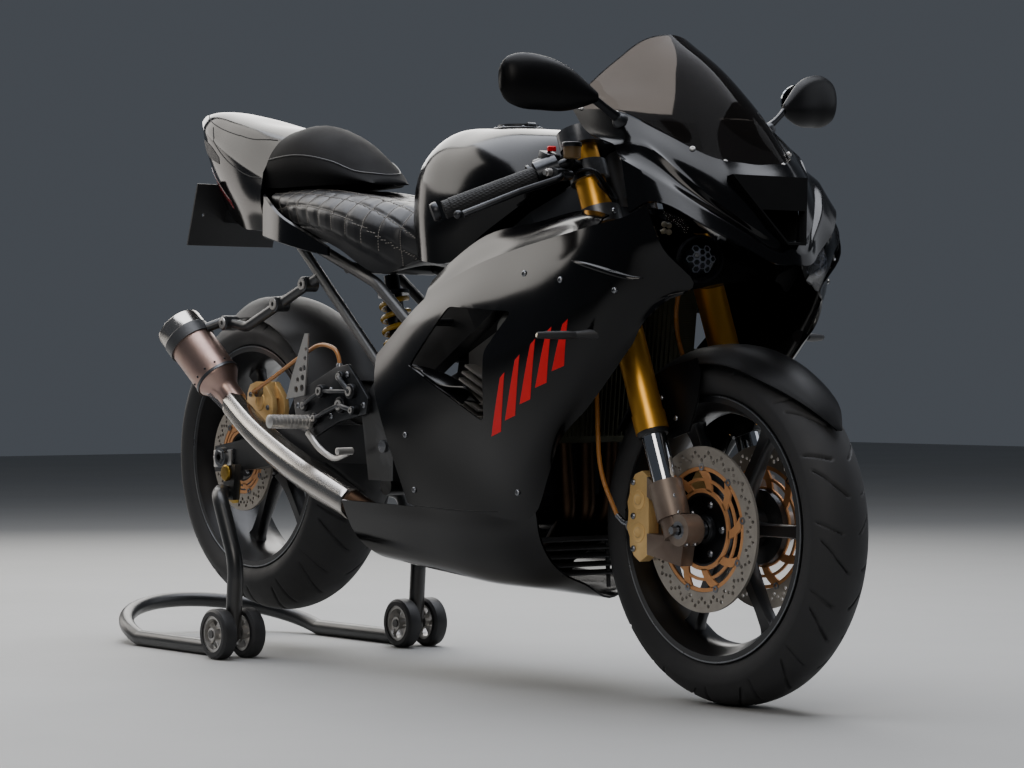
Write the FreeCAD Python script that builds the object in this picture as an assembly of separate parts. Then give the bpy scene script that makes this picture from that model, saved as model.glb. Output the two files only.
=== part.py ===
import FreeCAD, Part
import math
import os
from FreeCAD import Vector

# Sport bike on its paddock stand, in millimetres.
# +X is forward, +Y is the rider's left, +Z is up and the floor is z = 0.
# All tables below are measured from the point on the floor under the front axle.

# Wheels and tyres
FRONT_TYRE_R = 300.0
FRONT_TYRE_W = 120.0
REAR_TYRE_R = 315.0
REAR_TYRE_W = 180.0
RIM_R = 226.0
FRONT_RIM_W = 104.0
REAR_RIM_W = 156.0
REAR_AXLE_X = -1397.0
REAR_AXLE_Z = 393.0
AXLE_R = 12.5
HUB_CLEAR = 0.05
SEAT_GAP = 0.3
SPOKES = 6
FLANGE = 5.0

# Fork and steering
FORK_LEAN = 21.3
AXLE_OFFSET = 22.0
CLAMP_OFFSET = 16.0
FORK_HALF = 105.0
OUTER_R = 27.0
SLIDER_R = 21.5
SEAL_T = 190.0
SLIDER_T = 92.0
FORK_TOP_T = 742.0
CLAMP_SPAN = 152.0
UPPER_CLAMP_T = FORK_TOP_T - 30.0
LOWER_CLAMP_T = UPPER_CLAMP_T - CLAMP_SPAN
CLIP_T = FORK_TOP_T - 78.0
CLAMP_THICK = 32.0
STEM_R = 15.0
STEM_BORE_R = 9.0

# Brakes
FRONT_DISC_R = 140.0
FRONT_DISC_Y = 68.0
REAR_DISC_R = 110.0
REAR_DISC_Y = 97.0
DISC_THICK = 5.0
DISC_BAND = 34.0
DRILLS = 24
DRILL_R = 3.6
DRILL_ROWS = ((0.3, 0.0), (0.7, 0.5))
CARRIER_THICK = 4.0
CARRIER_ARMS = 9
CARRIER_RIM = 6.0
ARM_DEGREES = 12.0
ARM_LEAN = 16.0

# Bodywork
PANEL = 4.0
FIN_THICK = 3.0
TANK_TOP_Z = 1012.0
CAP_R = 38.0
CAP_X = -600.0

# Paddock stand
STAND_TUBE_R = 16.0
STAND_AXLE_X = -1240.0
STAND_WHEEL_R = 50.0
STAND_HALF = 221.0
STAND_WHEEL_W = 32.0
STAND_WHEEL_GAP = 34.0
HANDLE_END_X = -1600.0
HANDLE_RISE = 59.0

# The origin is under the middle of the whole length
FRONT_END = FRONT_TYRE_R
HANDLE_TILT = math.atan(HANDLE_RISE / STAND_HALF)
REAR_END = HANDLE_END_X - STAND_HALF * math.cos(HANDLE_TILT) - STAND_TUBE_R
ORIGIN_X = (FRONT_END + REAR_END) / 2.0


def vec(x, y, z):
    return Vector(x, y, z)


def cylinder(start, end, radius):
    """Solid rod between two points."""
    axis = end - start
    return Part.makeCylinder(radius, axis.Length, start, axis)


def tube(start, end, outer, bore):
    """Straight tube between two points."""
    return cylinder(start, end, outer).cut(cylinder(start, end, bore))


def fuse(shapes):
    """One shape from pieces that touch."""
    joined = shapes[0].multiFuse(shapes[1:]) if len(shapes) > 1 else shapes[0]
    return joined.removeSplitter()


def mirrored(shape):
    """The same shape on the other side of the centre plane."""
    return shape.mirror(vec(0, 0, 0), vec(0, 1, 0))


def both_sides(shape):
    """The shape and its mirror image."""
    return Part.makeCompound([shape, mirrored(shape)])


def trimmed(shape, neighbours):
    """The shape cut back where it meets its neighbours, without the offcuts."""
    kept = []
    for solid in shape.Solids:
        for other in neighbours:
            solid = solid.cut(other)
        kept.append(max(solid.Solids, key=lambda piece: piece.Volume))
    return Part.makeCompound(kept) if len(kept) > 1 else kept[0]


def plate_xz(outline, y_low, y_high):
    """Plate with an outline given as (x, z), between two values of y."""
    points = [vec(x, y_low, z) for x, z in outline]
    face = Part.Face(Part.makePolygon(points + points[:1]))
    return face.extrude(vec(0, y_high - y_low, 0))


def hose_bends(name, points):
    """Largest bend radius that each inner corner of a hose's route leaves room for."""
    bends = []
    for i in range(1, len(points) - 1):
        before = points[i] - points[i - 1]
        after = points[i + 1] - points[i]
        turn = before.getAngle(after)
        bends.append(0.45 * min(before.Length, after.Length) / math.tan(turn / 2.0))
    print(name, "bend radii", [round(r, 1) for r in bends])
    return bends


def bent_tube(points, bends, radius, bore=0.0):
    """Round tube through the points, each inner corner rounded to its bend radius."""
    edges = []
    last = points[0]
    for i in range(1, len(points) - 1):
        before = (points[i - 1] - points[i]).normalize()
        after = (points[i + 1] - points[i]).normalize()
        half = before.getAngle(after) / 2.0
        reach = bends[i - 1] / math.tan(half)
        start = points[i] + before * reach
        end = points[i] + after * reach
        middle_dir = (before + after).normalize()
        middle = points[i] + middle_dir * (bends[i - 1] / math.sin(half) - bends[i - 1])
        if (start - last).Length > 0.01:
            edges.append(Part.makeLine(last, start))
        edges.append(Part.Arc(start, middle, end).toShape())
        last = end
    edges.append(Part.makeLine(last, points[-1]))
    path = Part.Wire(edges)
    direction = points[1] - points[0]
    rings = [Part.Wire(Part.makeCircle(r, points[0], direction)) for r in (radius, bore) if r > 0]
    solids = [path.makePipeShell([ring], True, False) for ring in rings]
    return solids[0].cut(solids[1]) if len(solids) > 1 else solids[0]


def quad(a, b, c, d):
    """Face between the straight edges a-b and d-c."""
    return Part.makeRuledSurface(Part.makeLine(a, b), Part.makeLine(d, c))


def grid_normals(grid):
    """Unit normal at each point of a grid of points."""
    rows = len(grid)
    cols = len(grid[0])
    normals = []
    for i in range(rows):
        line = []
        for j in range(cols):
            along = grid[min(i + 1, rows - 1)][j] - grid[max(i - 1, 0)][j]
            across = grid[i][min(j + 1, cols - 1)] - grid[i][max(j - 1, 0)]
            line.append(along.cross(across).normalize())
        normals.append(line)
    return normals


def panel(grid, thickness):
    """Sheet of even thickness laid inward from a grid of points."""
    rows = len(grid)
    cols = len(grid[0])
    normals = grid_normals(grid)
    inner = [[grid[i][j] - normals[i][j] * thickness for j in range(cols)] for i in range(rows)]
    faces = []
    for i in range(rows - 1):
        for j in range(cols - 1):
            for layer in (grid, inner):
                faces.append(quad(layer[i][j], layer[i + 1][j], layer[i + 1][j + 1], layer[i][j + 1]))
    for j in range(cols - 1):
        for i in (0, rows - 1):
            faces.append(quad(grid[i][j], inner[i][j], inner[i][j + 1], grid[i][j + 1]))
    for i in range(rows - 1):
        for j in (0, cols - 1):
            faces.append(quad(grid[i][j], inner[i][j], inner[i + 1][j], grid[i + 1][j]))
    return solid_of(faces)


def solid_of(faces):
    """Closed solid from faces that meet edge to edge."""
    skin = Part.makeCompound(faces)
    skin.sewShape(0.01)
    solid = Part.Solid(skin.Shells[0])
    if solid.Volume < 0:
        solid.reverse()
    return solid


def loft(sections):
    """Solid through closed sections with the same number of corners."""
    wires = [Part.makePolygon(points + points[:1]) for points in sections]
    return Part.makeLoft(wires, True, True)


def mirrored_section(x, half):
    """Closed section at x from (y, z) points that run from the top centre to the bottom centre."""
    left = [vec(x, y, z) for y, z in half]
    right = [vec(x, -y, z) for y, z in reversed(half[1:-1])]
    return left + right


def grid_of(rows, side):
    """Grid of points from rows of (x, y, z), on the left (side 1) or on the right (side -1)."""
    return [[vec(x, side * y, z) for x, y, z in row] for row in rows]


# Steering geometry

LEAN = math.radians(FORK_LEAN)
FORK_UP = vec(-math.sin(LEAN), 0, math.cos(LEAN))
FORK_FORWARD = vec(math.cos(LEAN), 0, math.sin(LEAN))
FRONT_AXLE = vec(0, 0, FRONT_TYRE_R)
REAR_AXLE = vec(REAR_AXLE_X, 0, REAR_AXLE_Z)


def fork_point(t, side):
    """Point on a fork leg's centre line, t above the axle along the fork."""
    return FRONT_AXLE + FORK_UP * t - FORK_FORWARD * AXLE_OFFSET + vec(0, side * FORK_HALF, 0)


def stem_point(t):
    """Point on the steering axis, t above the axle along the fork."""
    return FRONT_AXLE + FORK_UP * t - FORK_FORWARD * (AXLE_OFFSET + CLAMP_OFFSET)


# Wheels

def revolve_y(profile, centre):
    """Solid of revolution about the wheel axis from (y, radius) points."""
    points = [centre + vec(0, y, r) for y, r in profile]
    face = Part.Face(Part.makePolygon(points + points[:1]))
    return face.revolve(centre, vec(0, 1, 0), 360)


def tyre(centre, outer_r, width, rim_w):
    """Round-crowned tyre seated on its rim."""
    half = width / 2.0
    bead = RIM_R - 4.0
    bead_y = rim_w / 2.0 - FLANGE - SEAT_GAP
    flange_r = RIM_R + SEAT_GAP
    shoulder = outer_r - width * 0.33
    arc_crown = Part.Arc(centre + vec(0, -half, shoulder), centre + vec(0, 0, outer_r),
                         centre + vec(0, half, shoulder)).toShape()
    side_mid = (bead + shoulder) / 2.0 + 2.0
    left = Part.Arc(centre + vec(0, half, shoulder), centre + vec(0, half * 0.97, side_mid),
                    centre + vec(0, bead_y, flange_r)).toShape()
    right = Part.Arc(centre + vec(0, -bead_y, flange_r), centre + vec(0, -half * 0.97, side_mid),
                     centre + vec(0, -half, shoulder)).toShape()
    base = Part.makePolygon([centre + vec(0, bead_y, flange_r), centre + vec(0, bead_y, bead),
                             centre + vec(0, -bead_y, bead), centre + vec(0, -bead_y, flange_r)])
    face = Part.Face(Part.Wire([arc_crown, left] + base.Edges + [right]))
    return face.revolve(centre, vec(0, 1, 0), 360)


def rim(centre, rim_w, hub_half, hub_r):
    """Cast rim with its well, spokes and hub."""
    half = rim_w / 2.0
    seat_y = half - FLANGE
    bead = RIM_R - 4.0 - SEAT_GAP
    well = revolve_y([(-half, RIM_R - 12), (-half, RIM_R), (-seat_y, RIM_R), (-seat_y, bead),
                      (seat_y, bead), (seat_y, RIM_R), (half, RIM_R), (half, RIM_R - 12),
                      (half * 0.4, 196), (-half * 0.4, 196)], centre)
    hub = cylinder(centre + vec(0, -hub_half, 0), centre + vec(0, hub_half, 0), hub_r)
    spokes = []
    for i in range(SPOKES):
        angle = 2 * math.pi * i / SPOKES
        radial = vec(math.cos(angle), 0, math.sin(angle))
        around = vec(-math.sin(angle), 0, math.cos(angle))
        sections = []
        for reach, wide, deep in ((hub_r - 8, 17, 22), (118, 11, 15), (204, 17, 13)):
            mid = centre + radial * reach
            ring = [mid + around * wide * s + vec(0, deep * d, 0)
                    for s, d in ((-1, -1), (1, -1), (1, 1), (-1, 1))]
            sections.append(ring)
        spokes.append(loft(sections))
    wheel = fuse([well, hub] + spokes)
    bore = cylinder(centre + vec(0, -hub_half - 1, 0), centre + vec(0, hub_half + 1, 0), AXLE_R + HUB_CLEAR)
    return wheel.cut(bore)


def around(centre, reach, degrees):
    """Point at a distance from a wheel's centre, at an angle in its plane."""
    angle = math.radians(degrees)
    return centre + vec(reach * math.cos(angle), 0, reach * math.sin(angle))


def carrier_window(centre, inner_r, outer_r, start, width, lean):
    """Outline of one window between two arms that lean as they run outwards."""
    low = [around(centre, inner_r, start + width * share) for share in (0, 0.5, 1)]
    high = [around(centre, outer_r, start + lean + width * share) for share in (0, 0.5, 1)]
    return Part.Wire([Part.Arc(*low).toShape(), Part.makeLine(low[2], high[2]),
                      Part.Arc(high[2], high[1], high[0]).toShape(), Part.makeLine(high[0], low[0])])


def brake_disc(centre, y_mid, outer_r, hub_r, carrier_r, hub_y):
    """Drilled ring on a carrier with leaning arms, which is bolted to the hub's end."""
    low = y_mid - DISC_THICK / 2.0
    inner_r = outer_r - DISC_BAND
    ring = Part.makeCylinder(outer_r, DISC_THICK, centre + vec(0, low, 0), vec(0, 1, 0))
    ring = ring.cut(Part.makeCylinder(inner_r, DISC_THICK, centre + vec(0, low, 0), vec(0, 1, 0)))
    drills = []
    for share, shift in DRILL_ROWS:
        for k in range(DRILLS):
            place = around(centre, inner_r + DISC_BAND * share, 360.0 * (k + shift) / DRILLS)
            drills.append(Part.makeCylinder(DRILL_R, DISC_THICK, place + vec(0, low, 0), vec(0, 1, 0)))
    ring = ring.cut(Part.makeCompound(drills))
    carrier_low = y_mid - CARRIER_THICK / 2.0
    carrier = Part.makeCylinder(inner_r + 1, CARRIER_THICK, centre + vec(0, carrier_low, 0), vec(0, 1, 0))
    carrier = carrier.cut(Part.makeCylinder(carrier_r, CARRIER_THICK, centre + vec(0, carrier_low, 0), vec(0, 1, 0)))
    step = 360.0 / CARRIER_ARMS
    for k in range(CARRIER_ARMS):
        window = carrier_window(centre + vec(0, carrier_low, 0), carrier_r + CARRIER_RIM, inner_r - CARRIER_RIM,
                                k * step, step - ARM_DEGREES, ARM_LEAN)
        carrier = carrier.cut(Part.Face(window).extrude(vec(0, CARRIER_THICK, 0)))
    inner_y, outer_y = sorted((hub_y, y_mid))
    collar = Part.makeCylinder(carrier_r + 4, outer_y - inner_y, centre + vec(0, inner_y, 0), vec(0, 1, 0))
    collar = collar.cut(Part.makeCylinder(hub_r, outer_y - inner_y, centre + vec(0, inner_y, 0), vec(0, 1, 0)))
    return fuse([ring, carrier, collar])


FRONT_HUB_HALF = 56.0
FRONT_HUB_R = 34.0
REAR_HUB_HALF = 84.0
REAR_HUB_R = 44.0


def front_wheel_parts():
    parts = {}
    parts["front_tyre"] = tyre(FRONT_AXLE, FRONT_TYRE_R, FRONT_TYRE_W, FRONT_RIM_W)
    parts["front_rim"] = rim(FRONT_AXLE, FRONT_RIM_W, FRONT_HUB_HALF, FRONT_HUB_R)
    disc = brake_disc(FRONT_AXLE, FRONT_DISC_Y, FRONT_DISC_R, AXLE_R + 4, 62, FRONT_HUB_HALF)
    parts["front_discs"] = both_sides(disc)
    return parts


def rear_wheel_parts():
    parts = {}
    parts["rear_tyre"] = tyre(REAR_AXLE, REAR_TYRE_R, REAR_TYRE_W, REAR_RIM_W)
    parts["rear_rim"] = rim(REAR_AXLE, REAR_RIM_W, REAR_HUB_HALF, REAR_HUB_R)
    parts["rear_disc"] = brake_disc(REAR_AXLE, -REAR_DISC_Y, REAR_DISC_R, AXLE_R + 4, 50, -REAR_HUB_HALF)
    return parts


# Chain drive

CHAIN_Y = 100.0
CHAIN_WIDE = 14.0
CHAIN_HALF = 4.6
CHAIN_WAIST = 1.9
CHAIN_GAP = 0.8
PITCH = 15.875
SPROCKET_R = 88.0
SPROCKET_THICK = 6.0
TEETH = 38
TOOTH_DEEP = 5.0
DRIVE_R = 34.0
DRIVE_CENTRE = vec(-770.0, 0, 425.0)


def chain_line():
    """Closely set points on the chain's middle line, each with its outward direction."""
    line = REAR_AXLE - DRIVE_CENTRE
    distance = math.hypot(line.x, line.z)
    along = vec(line.x / distance, 0, line.z / distance)
    up = vec(-along.z, 0, along.x)
    big = SPROCKET_R + CHAIN_GAP + CHAIN_HALF
    small = DRIVE_R + CHAIN_GAP + CHAIN_HALF
    tilt = math.asin((big - small) / distance)
    points = []
    for centre, radius, start, sweep, steps in ((REAR_AXLE, big, -(math.pi / 2 + tilt), math.pi + 2 * tilt, 48),
                                                (DRIVE_CENTRE, small, math.pi / 2 + tilt, math.pi - 2 * tilt, 20)):
        for k in range(steps + 1):
            angle = start + sweep * k / steps
            out = along * math.cos(angle) + up * math.sin(angle)
            points.append((centre + out * radius, out))
    return points


def chain_links():
    """One closed loop whose edges are waisted between the rollers, as its link plates are."""
    points = chain_line()
    runs = [(b[0] - a[0]).Length for a, b in zip(points, points[1:] + points[:1])]
    links = round(sum(runs) / PITCH)
    step = sum(runs) / links
    outer = []
    inner = []
    run = 0
    passed = 0.0
    for k in range(links):
        for share, waist in ((0.0, CHAIN_WAIST), (0.22, 0.0), (0.78, 0.0)):
            place = (k + share) * step
            while passed + runs[run] < place:
                passed += runs[run]
                run += 1
            part = (place - passed) / runs[run]
            start, start_out = points[run]
            end, end_out = points[(run + 1) % len(points)]
            middle = start + (end - start) * part
            out = (start_out + (end_out - start_out) * part).normalize()
            outer.append(middle + out * (CHAIN_HALF - waist))
            inner.append(middle - out * (CHAIN_HALF - waist))
    low = vec(0, CHAIN_Y - CHAIN_WIDE / 2.0, 0)
    loops = []
    for edge in (outer, inner):
        face = Part.Face(Part.makePolygon([p + low for p in edge + edge[:1]]))
        loops.append(face.extrude(vec(0, CHAIN_WIDE, 0)))
    return loops[0].cut(loops[1])


def sprocket():
    """Toothed plate with round windows, on the carrier that bolts to the hub."""
    low = CHAIN_Y - SPROCKET_THICK / 2.0
    outline = []
    for k in range(TEETH):
        for share, deep in ((0.0, TOOTH_DEEP), (0.4, TOOTH_DEEP), (0.6, 0.0), (0.8, 0.0)):
            outline.append(around(REAR_AXLE + vec(0, low, 0), SPROCKET_R - deep, 360.0 * (k + share) / TEETH))
    plate = Part.Face(Part.makePolygon(outline + outline[:1])).extrude(vec(0, SPROCKET_THICK, 0))
    windows = [Part.makeCylinder(7, SPROCKET_THICK, around(REAR_AXLE + vec(0, low, 0), SPROCKET_R - 17, 36.0 * k),
                                 vec(0, 1, 0)) for k in range(10)]
    plate = plate.cut(Part.makeCompound(windows))
    carrier = Part.makeCylinder(REAR_HUB_R + 14, low - REAR_HUB_HALF, REAR_AXLE + vec(0, REAR_HUB_HALF, 0),
                                vec(0, 1, 0))
    bore = cylinder(REAR_AXLE + vec(0, REAR_HUB_HALF - 4, 0), REAR_AXLE + vec(0, CHAIN_Y + 10, 0), AXLE_R + 4)
    return fuse([plate, carrier]).cut(bore)


def chain_drive():
    return {"rear_sprocket": sprocket(), "chain": chain_links()}


# Fork and handlebars

def fork_parts():
    parts = {}
    outers = []
    sliders = []
    bottoms = []
    for side in (1, -1):
        outer = cylinder(fork_point(SEAL_T, side), fork_point(FORK_TOP_T - 8, side), OUTER_R)
        collar = cylinder(fork_point(SEAL_T - 6, side), fork_point(SEAL_T + 26, side), OUTER_R + 2)
        cap = cylinder(fork_point(FORK_TOP_T - 9, side), fork_point(FORK_TOP_T, side), 16)
        hollow = cylinder(fork_point(SEAL_T - 7, side), fork_point(SEAL_T + 60, side), SLIDER_R)
        outers.append(fuse([outer, collar, cap]).cut(hollow))
        sliders.append(cylinder(fork_point(SLIDER_T - 30, side), fork_point(SEAL_T + 60, side), SLIDER_R))
        bottoms.append(fork_bottom(side))
    parts["fork_outers"] = Part.makeCompound(outers)
    parts["fork_sliders"] = Part.makeCompound(sliders)
    parts["fork_bottoms"] = Part.makeCompound(bottoms)
    return parts


CALIPER_FRONT = -104.0
PAD_GAP = 5.0


def fork_bottom(side):
    """Cast foot of a fork leg with its axle clamp and caliper lugs."""
    centre_y = side * FORK_HALF
    sleeve = cylinder(fork_point(28, side), fork_point(SLIDER_T, side), 29)
    clamp = cylinder(FRONT_AXLE + vec(0, centre_y - 18, 0), FRONT_AXLE + vec(0, centre_y + 18, 0), 27)
    neck = cylinder(fork_point(-4, side), fork_point(32, side), 24)
    low, high = sorted((side * 78, side * 104))
    face = CALIPER_FRONT + SEAT_GAP
    lugs = [plate_xz([(-34, 352), (face, 386), (face, 352), (-40, 322)], low, high),
            plate_xz([(-6, 286), (face, 290), (face, 254), (-16, 238)], low, high)]
    foot = fuse([sleeve, clamp, neck] + lugs)
    foot = foot.cut(cylinder(FRONT_AXLE + vec(0, -200, 0), FRONT_AXLE + vec(0, 200, 0), AXLE_R + 2.5))
    return foot.cut(cylinder(fork_point(SLIDER_T - 30, side), fork_point(SLIDER_T + 30, side), SLIDER_R))


def front_axle():
    """Hollow axle with its shoulder sleeves between the fork feet."""
    rod = cylinder(FRONT_AXLE + vec(0, -FORK_HALF - 18, 0), FRONT_AXLE + vec(0, FORK_HALF + 18, 0), AXLE_R)
    sleeves = []
    for side in (1, -1):
        sleeves.append(cylinder(FRONT_AXLE + vec(0, side * (FRONT_HUB_HALF + 0.3), 0),
                                FRONT_AXLE + vec(0, side * (FORK_HALF + 18), 0), AXLE_R + 2.5))
    solid = fuse([rod] + sleeves)
    return solid.cut(cylinder(FRONT_AXLE + vec(0, -200, 0), FRONT_AXLE + vec(0, 200, 0), 8.5))


def clamp_plate(t):
    """Triple clamp: a plate with a ring for each fork leg and the stem."""
    rings = []
    for side in (1, -1):
        rings.append(cylinder(fork_point(t, side), fork_point(t + CLAMP_THICK, side), OUTER_R + 12))
    rings.append(cylinder(stem_point(t), stem_point(t + CLAMP_THICK), 30))
    base = stem_point(t)
    corners = [fork_point(t, 1) + FORK_FORWARD * 26, fork_point(t, 1) - FORK_FORWARD * 26,
               base - FORK_FORWARD * 28, fork_point(t, -1) - FORK_FORWARD * 26,
               fork_point(t, -1) + FORK_FORWARD * 26, base + FORK_FORWARD * 34]
    web = Part.Face(Part.makePolygon(corners + corners[:1])).extrude(FORK_UP * CLAMP_THICK)
    plate = fuse(rings + [web])
    for side in (1, -1):
        plate = plate.cut(cylinder(fork_point(t - 1, side), fork_point(t + CLAMP_THICK + 1, side), OUTER_R))
    return plate


def triple_clamps():
    stem = cylinder(stem_point(LOWER_CLAMP_T), stem_point(UPPER_CLAMP_T + CLAMP_THICK), STEM_R)
    both = fuse([clamp_plate(LOWER_CLAMP_T), clamp_plate(UPPER_CLAMP_T), stem])
    top = stem_point(UPPER_CLAMP_T + CLAMP_THICK + 1)
    return both.cut(cylinder(stem_point(LOWER_CLAMP_T - 1), top, STEM_BORE_R))


GRIP_INNER = fork_point(CLIP_T, 1) + vec(-21.3, 100.0, -7.5)
GRIP_OUTER = fork_point(CLIP_T, 1) + vec(-103.3, 240.0, -68.5)


def handlebar_parts():
    parts = {}
    bars = []
    grips = []
    for side in (1, -1):
        inner = vec(GRIP_INNER.x, side * GRIP_INNER.y, GRIP_INNER.z)
        outer = vec(GRIP_OUTER.x, side * GRIP_OUTER.y, GRIP_OUTER.z)
        direction = (outer - inner).normalize()
        root = fork_point(CLIP_T, side)
        ring = cylinder(fork_point(CLIP_T - 16, side), fork_point(CLIP_T + 16, side), OUTER_R + 8)
        start = inner - direction * 72
        bridge = cylinder(root, start + direction * 8, 13)
        bar = cylinder(start, outer - direction * 4, 11)
        cluster = cylinder(inner - direction * 42, inner - direction * 2, 24)
        clip = fuse([ring, bridge, bar, cluster])
        clip = clip.cut(cylinder(fork_point(CLIP_T - 60, side), fork_point(CLIP_T + 80, side), OUTER_R))
        grips.append(tube(inner, outer - direction * 16, 17, 11))
        grips.append(tube(outer - direction * 15.5, outer - direction * 4, 16, 11))
        ahead = vec(38, 0, -8)
        pivot = inner - direction * 22 + ahead
        lever = bent_tube([inner - direction * 22 + ahead * 0.55, pivot + ahead * 0.35,
                           inner + direction * 55 + ahead * 1.15, outer - direction * 8 + ahead * 1.3],
                          [10, 60], 6)
        bars.append(fuse([clip, lever]))
    parts["clip_ons"] = Part.makeCompound(bars)
    parts["grips"] = Part.makeCompound(grips)
    return parts


def caliper(side):
    """Radial caliper over the rear edge of a front disc."""
    y = side * FRONT_DISC_Y
    face = CALIPER_FRONT
    outline = [(face, 252), (face, 388), (-128, 398), (-160, 372), (-166, 310), (-158, 250), (-132, 238)]
    body = plate_xz(outline, y - 31, y + 31)
    gap = DISC_THICK / 2.0 + PAD_GAP
    slot = plate_xz([(-90, 230), (-90, 410), (-150, 410), (-150, 230)], y - gap, y + gap)
    return body.cut(slot)


def front_mudguard():
    """Mudguard over the tyre, pointed in front, with a wing down each fork leg."""
    inner = FRONT_TYRE_R + 9
    rows = []
    for degrees, half in ((33, 6), (42, 34), (58, 62), (80, 72), (105, 74), (130, 72), (148, 60)):
        angle = math.radians(degrees)
        row = []
        for share in (-1.0, -0.62, 0.0, 0.62, 1.0):
            drop = (abs(share) ** 2.5) * 34 * (half / 74.0) ** 2
            radius = inner + 4 - drop
            row.append(vec(radius * math.cos(angle), share * half, FRONT_TYRE_R + radius * math.sin(angle)))
        rows.append(row)
    shell = panel(rows, -3.5)
    wings = []
    for side in (1, -1):
        outline = [(-150, 548), (-80, 572), (-10, 584), (-4, 520), (-30, 462), (-75, 452), (-120, 466)]
        low, high = sorted((side * 70.5, side * 74.5))
        wings.append(plate_xz(outline, low, high))
        wings.append(cylinder(vec(-93, side * 72, 478), vec(-93, side * 82, 478), 8))
    return fuse([shell] + wings)


# Frame and running gear

PIVOT = vec(-830.0, 0, 425.0)
LEG_PIVOT = vec(-912.0, 0, 348.0)
LEG_PIN_R = 7.0
LEG_ROOT_Y = 138.0
TANK_BOTTOM = 764.0
TANK_REST_R = 18.7
HEAD_MID = stem_point((LOWER_CLAMP_T + CLAMP_THICK + UPPER_CLAMP_T) / 2.0)
SPAR_ROWS = (
    # x, z of the beam's middle, y of its middle, half height, half thickness
    (HEAD_MID.x - 13.5, HEAD_MID.z + 1.0, 30.0, 34.0, 12.0),
    (-390.0, 812.0, 98.0, 46.0, 16.0),
    (-560.0, 690.0, 138.0, 58.0, 15.0),
    (-740.0, 580.0, 142.0, 56.0, 15.0),
    (-850.0, 470.0, 130.0, 60.0, 15.0),
    (-850.0, 360.0, 124.0, 40.0, 13.0),
)


def main_frame():
    """Twin spars from the steering head to the swingarm pivot."""
    head = tube(stem_point(LOWER_CLAMP_T + CLAMP_THICK + 2), stem_point(UPPER_CLAMP_T - 2), 36, STEM_R + HUB_CLEAR)
    pieces = []
    for side in (1, -1):
        sections = []
        for i, (x, z, y, high, thick) in enumerate(SPAR_ROWS):
            x0, z0 = SPAR_ROWS[max(i - 1, 0)][0:2]
            x1, z1 = SPAR_ROWS[min(i + 1, len(SPAR_ROWS) - 1)][0:2]
            run = vec(x1 - x0, 0, z1 - z0).normalize()
            up = vec(-run.z, 0, run.x)
            mid = vec(x, side * y, z)
            sections.append([mid + up * high * s + vec(0, thick * d, 0)
                             for s, d in ((-1, -1), (1, -1), (1, 1), (-1, 1))])
        for first, second in zip(sections, sections[1:]):
            pieces.append(loft([first, second]))
        pieces.append(cylinder(vec(-600, side * 145, 655), vec(-600, side * 218, 655), 7))
    rest_z = TANK_BOTTOM - SEAT_GAP - TANK_REST_R
    cross = [cylinder(vec(-850, -125, 350), vec(-850, 125, 350), 18),
             cylinder(vec(-770, -140, 600), vec(-770, 140, 600), 18),
             cylinder(vec(-605, -140, rest_z), vec(-605, 140, rest_z), TANK_REST_R)]
    lug = plate_xz([(-830, 372), (-830, 340), (-895, 326), (-928, 334), (-930, 362), (-890, 392)], 124, LEG_ROOT_Y - SEAT_GAP)
    pin = cylinder(LEG_PIVOT + vec(0, 130, 0), LEG_PIVOT + vec(0, 170, 0), LEG_PIN_R)
    frame = fuse(pieces + cross + [head, lug, pin])
    frame = frame.cut(cylinder(stem_point(LOWER_CLAMP_T + 20), stem_point(UPPER_CLAMP_T + 20), STEM_R + HUB_CLEAR))
    return frame.cut(cylinder(PIVOT + vec(0, -200, 0), PIVOT + vec(0, 200, 0), 12.3))


def fairing_stay():
    """Tubes that carry the nose, the lamps and the display from the front of the steering head."""
    front = HEAD_MID + vec(46.5, 0, -8)
    pieces = [Part.makeBox(42, 68, 50, front + vec(-26, -34, -16))]
    for side in (1, -1):
        pieces.append(bent_tube([front + vec(-6, side * 24, 12), vec(-130, side * 50, 886), vec(104, side * 117, 782)],
                                [60], 8))
    pieces.append(bent_tube([front + vec(-6, 0, -3), vec(-136.6, 0, 907.2), vec(-155.9, 0, 942.2)], [16], 8))
    return fuse(pieces)


SPOOL = vec(-1347.0, 0, 362.0)
SPOOL_R = 10.0


def swingarm():
    """Two arms from the pivot to the rear axle, with a cross brace and the spools for the paddock stand."""
    pieces = []
    for side in (1, -1):
        arm = []
        for x, z, y, high, thick in ((-805, 425, 76, 33, 14), (-960, 425, 74, 38, 14),
                                     (-1090, 426, 110, 36, 14), (-1200, 420, 124, 36, 14),
                                     (-1300, 402, 126, 32, 12), (-1440, 388, 126, 26, 12)):
            arm.append([vec(x, side * (y - thick), z - high), vec(x, side * (y + thick), z - high),
                        vec(x, side * (y + thick), z + high), vec(x, side * (y - thick), z + high)])
        pieces.append(loft(arm))
    brace = [[vec(-850, y, 398), vec(-850, y, 462), vec(-985, y, 476), vec(-985, y, 400)] for y in (-80, 80)]
    pieces.append(loft(brace))
    for side in (1, -1):
        pieces.append(cylinder(SPOOL + vec(0, side * 137, 0), SPOOL + vec(0, side * 166, 0), SPOOL_R))
        pieces.append(cylinder(SPOOL + vec(0, side * 137, 0), SPOOL + vec(0, side * 147, 0), SPOOL_R + 6))
    arm = fuse(pieces)
    arm = arm.cut(cylinder(REAR_AXLE + vec(0, -200, 0), REAR_AXLE + vec(0, 200, 0), AXLE_R))
    return arm.cut(cylinder(PIVOT + vec(0, -200, 0), PIVOT + vec(0, 200, 0), 12.3))


def pivot_bolt():
    return cylinder(PIVOT + vec(0, -148, 0), PIVOT + vec(0, 148, 0), 12)


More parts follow.
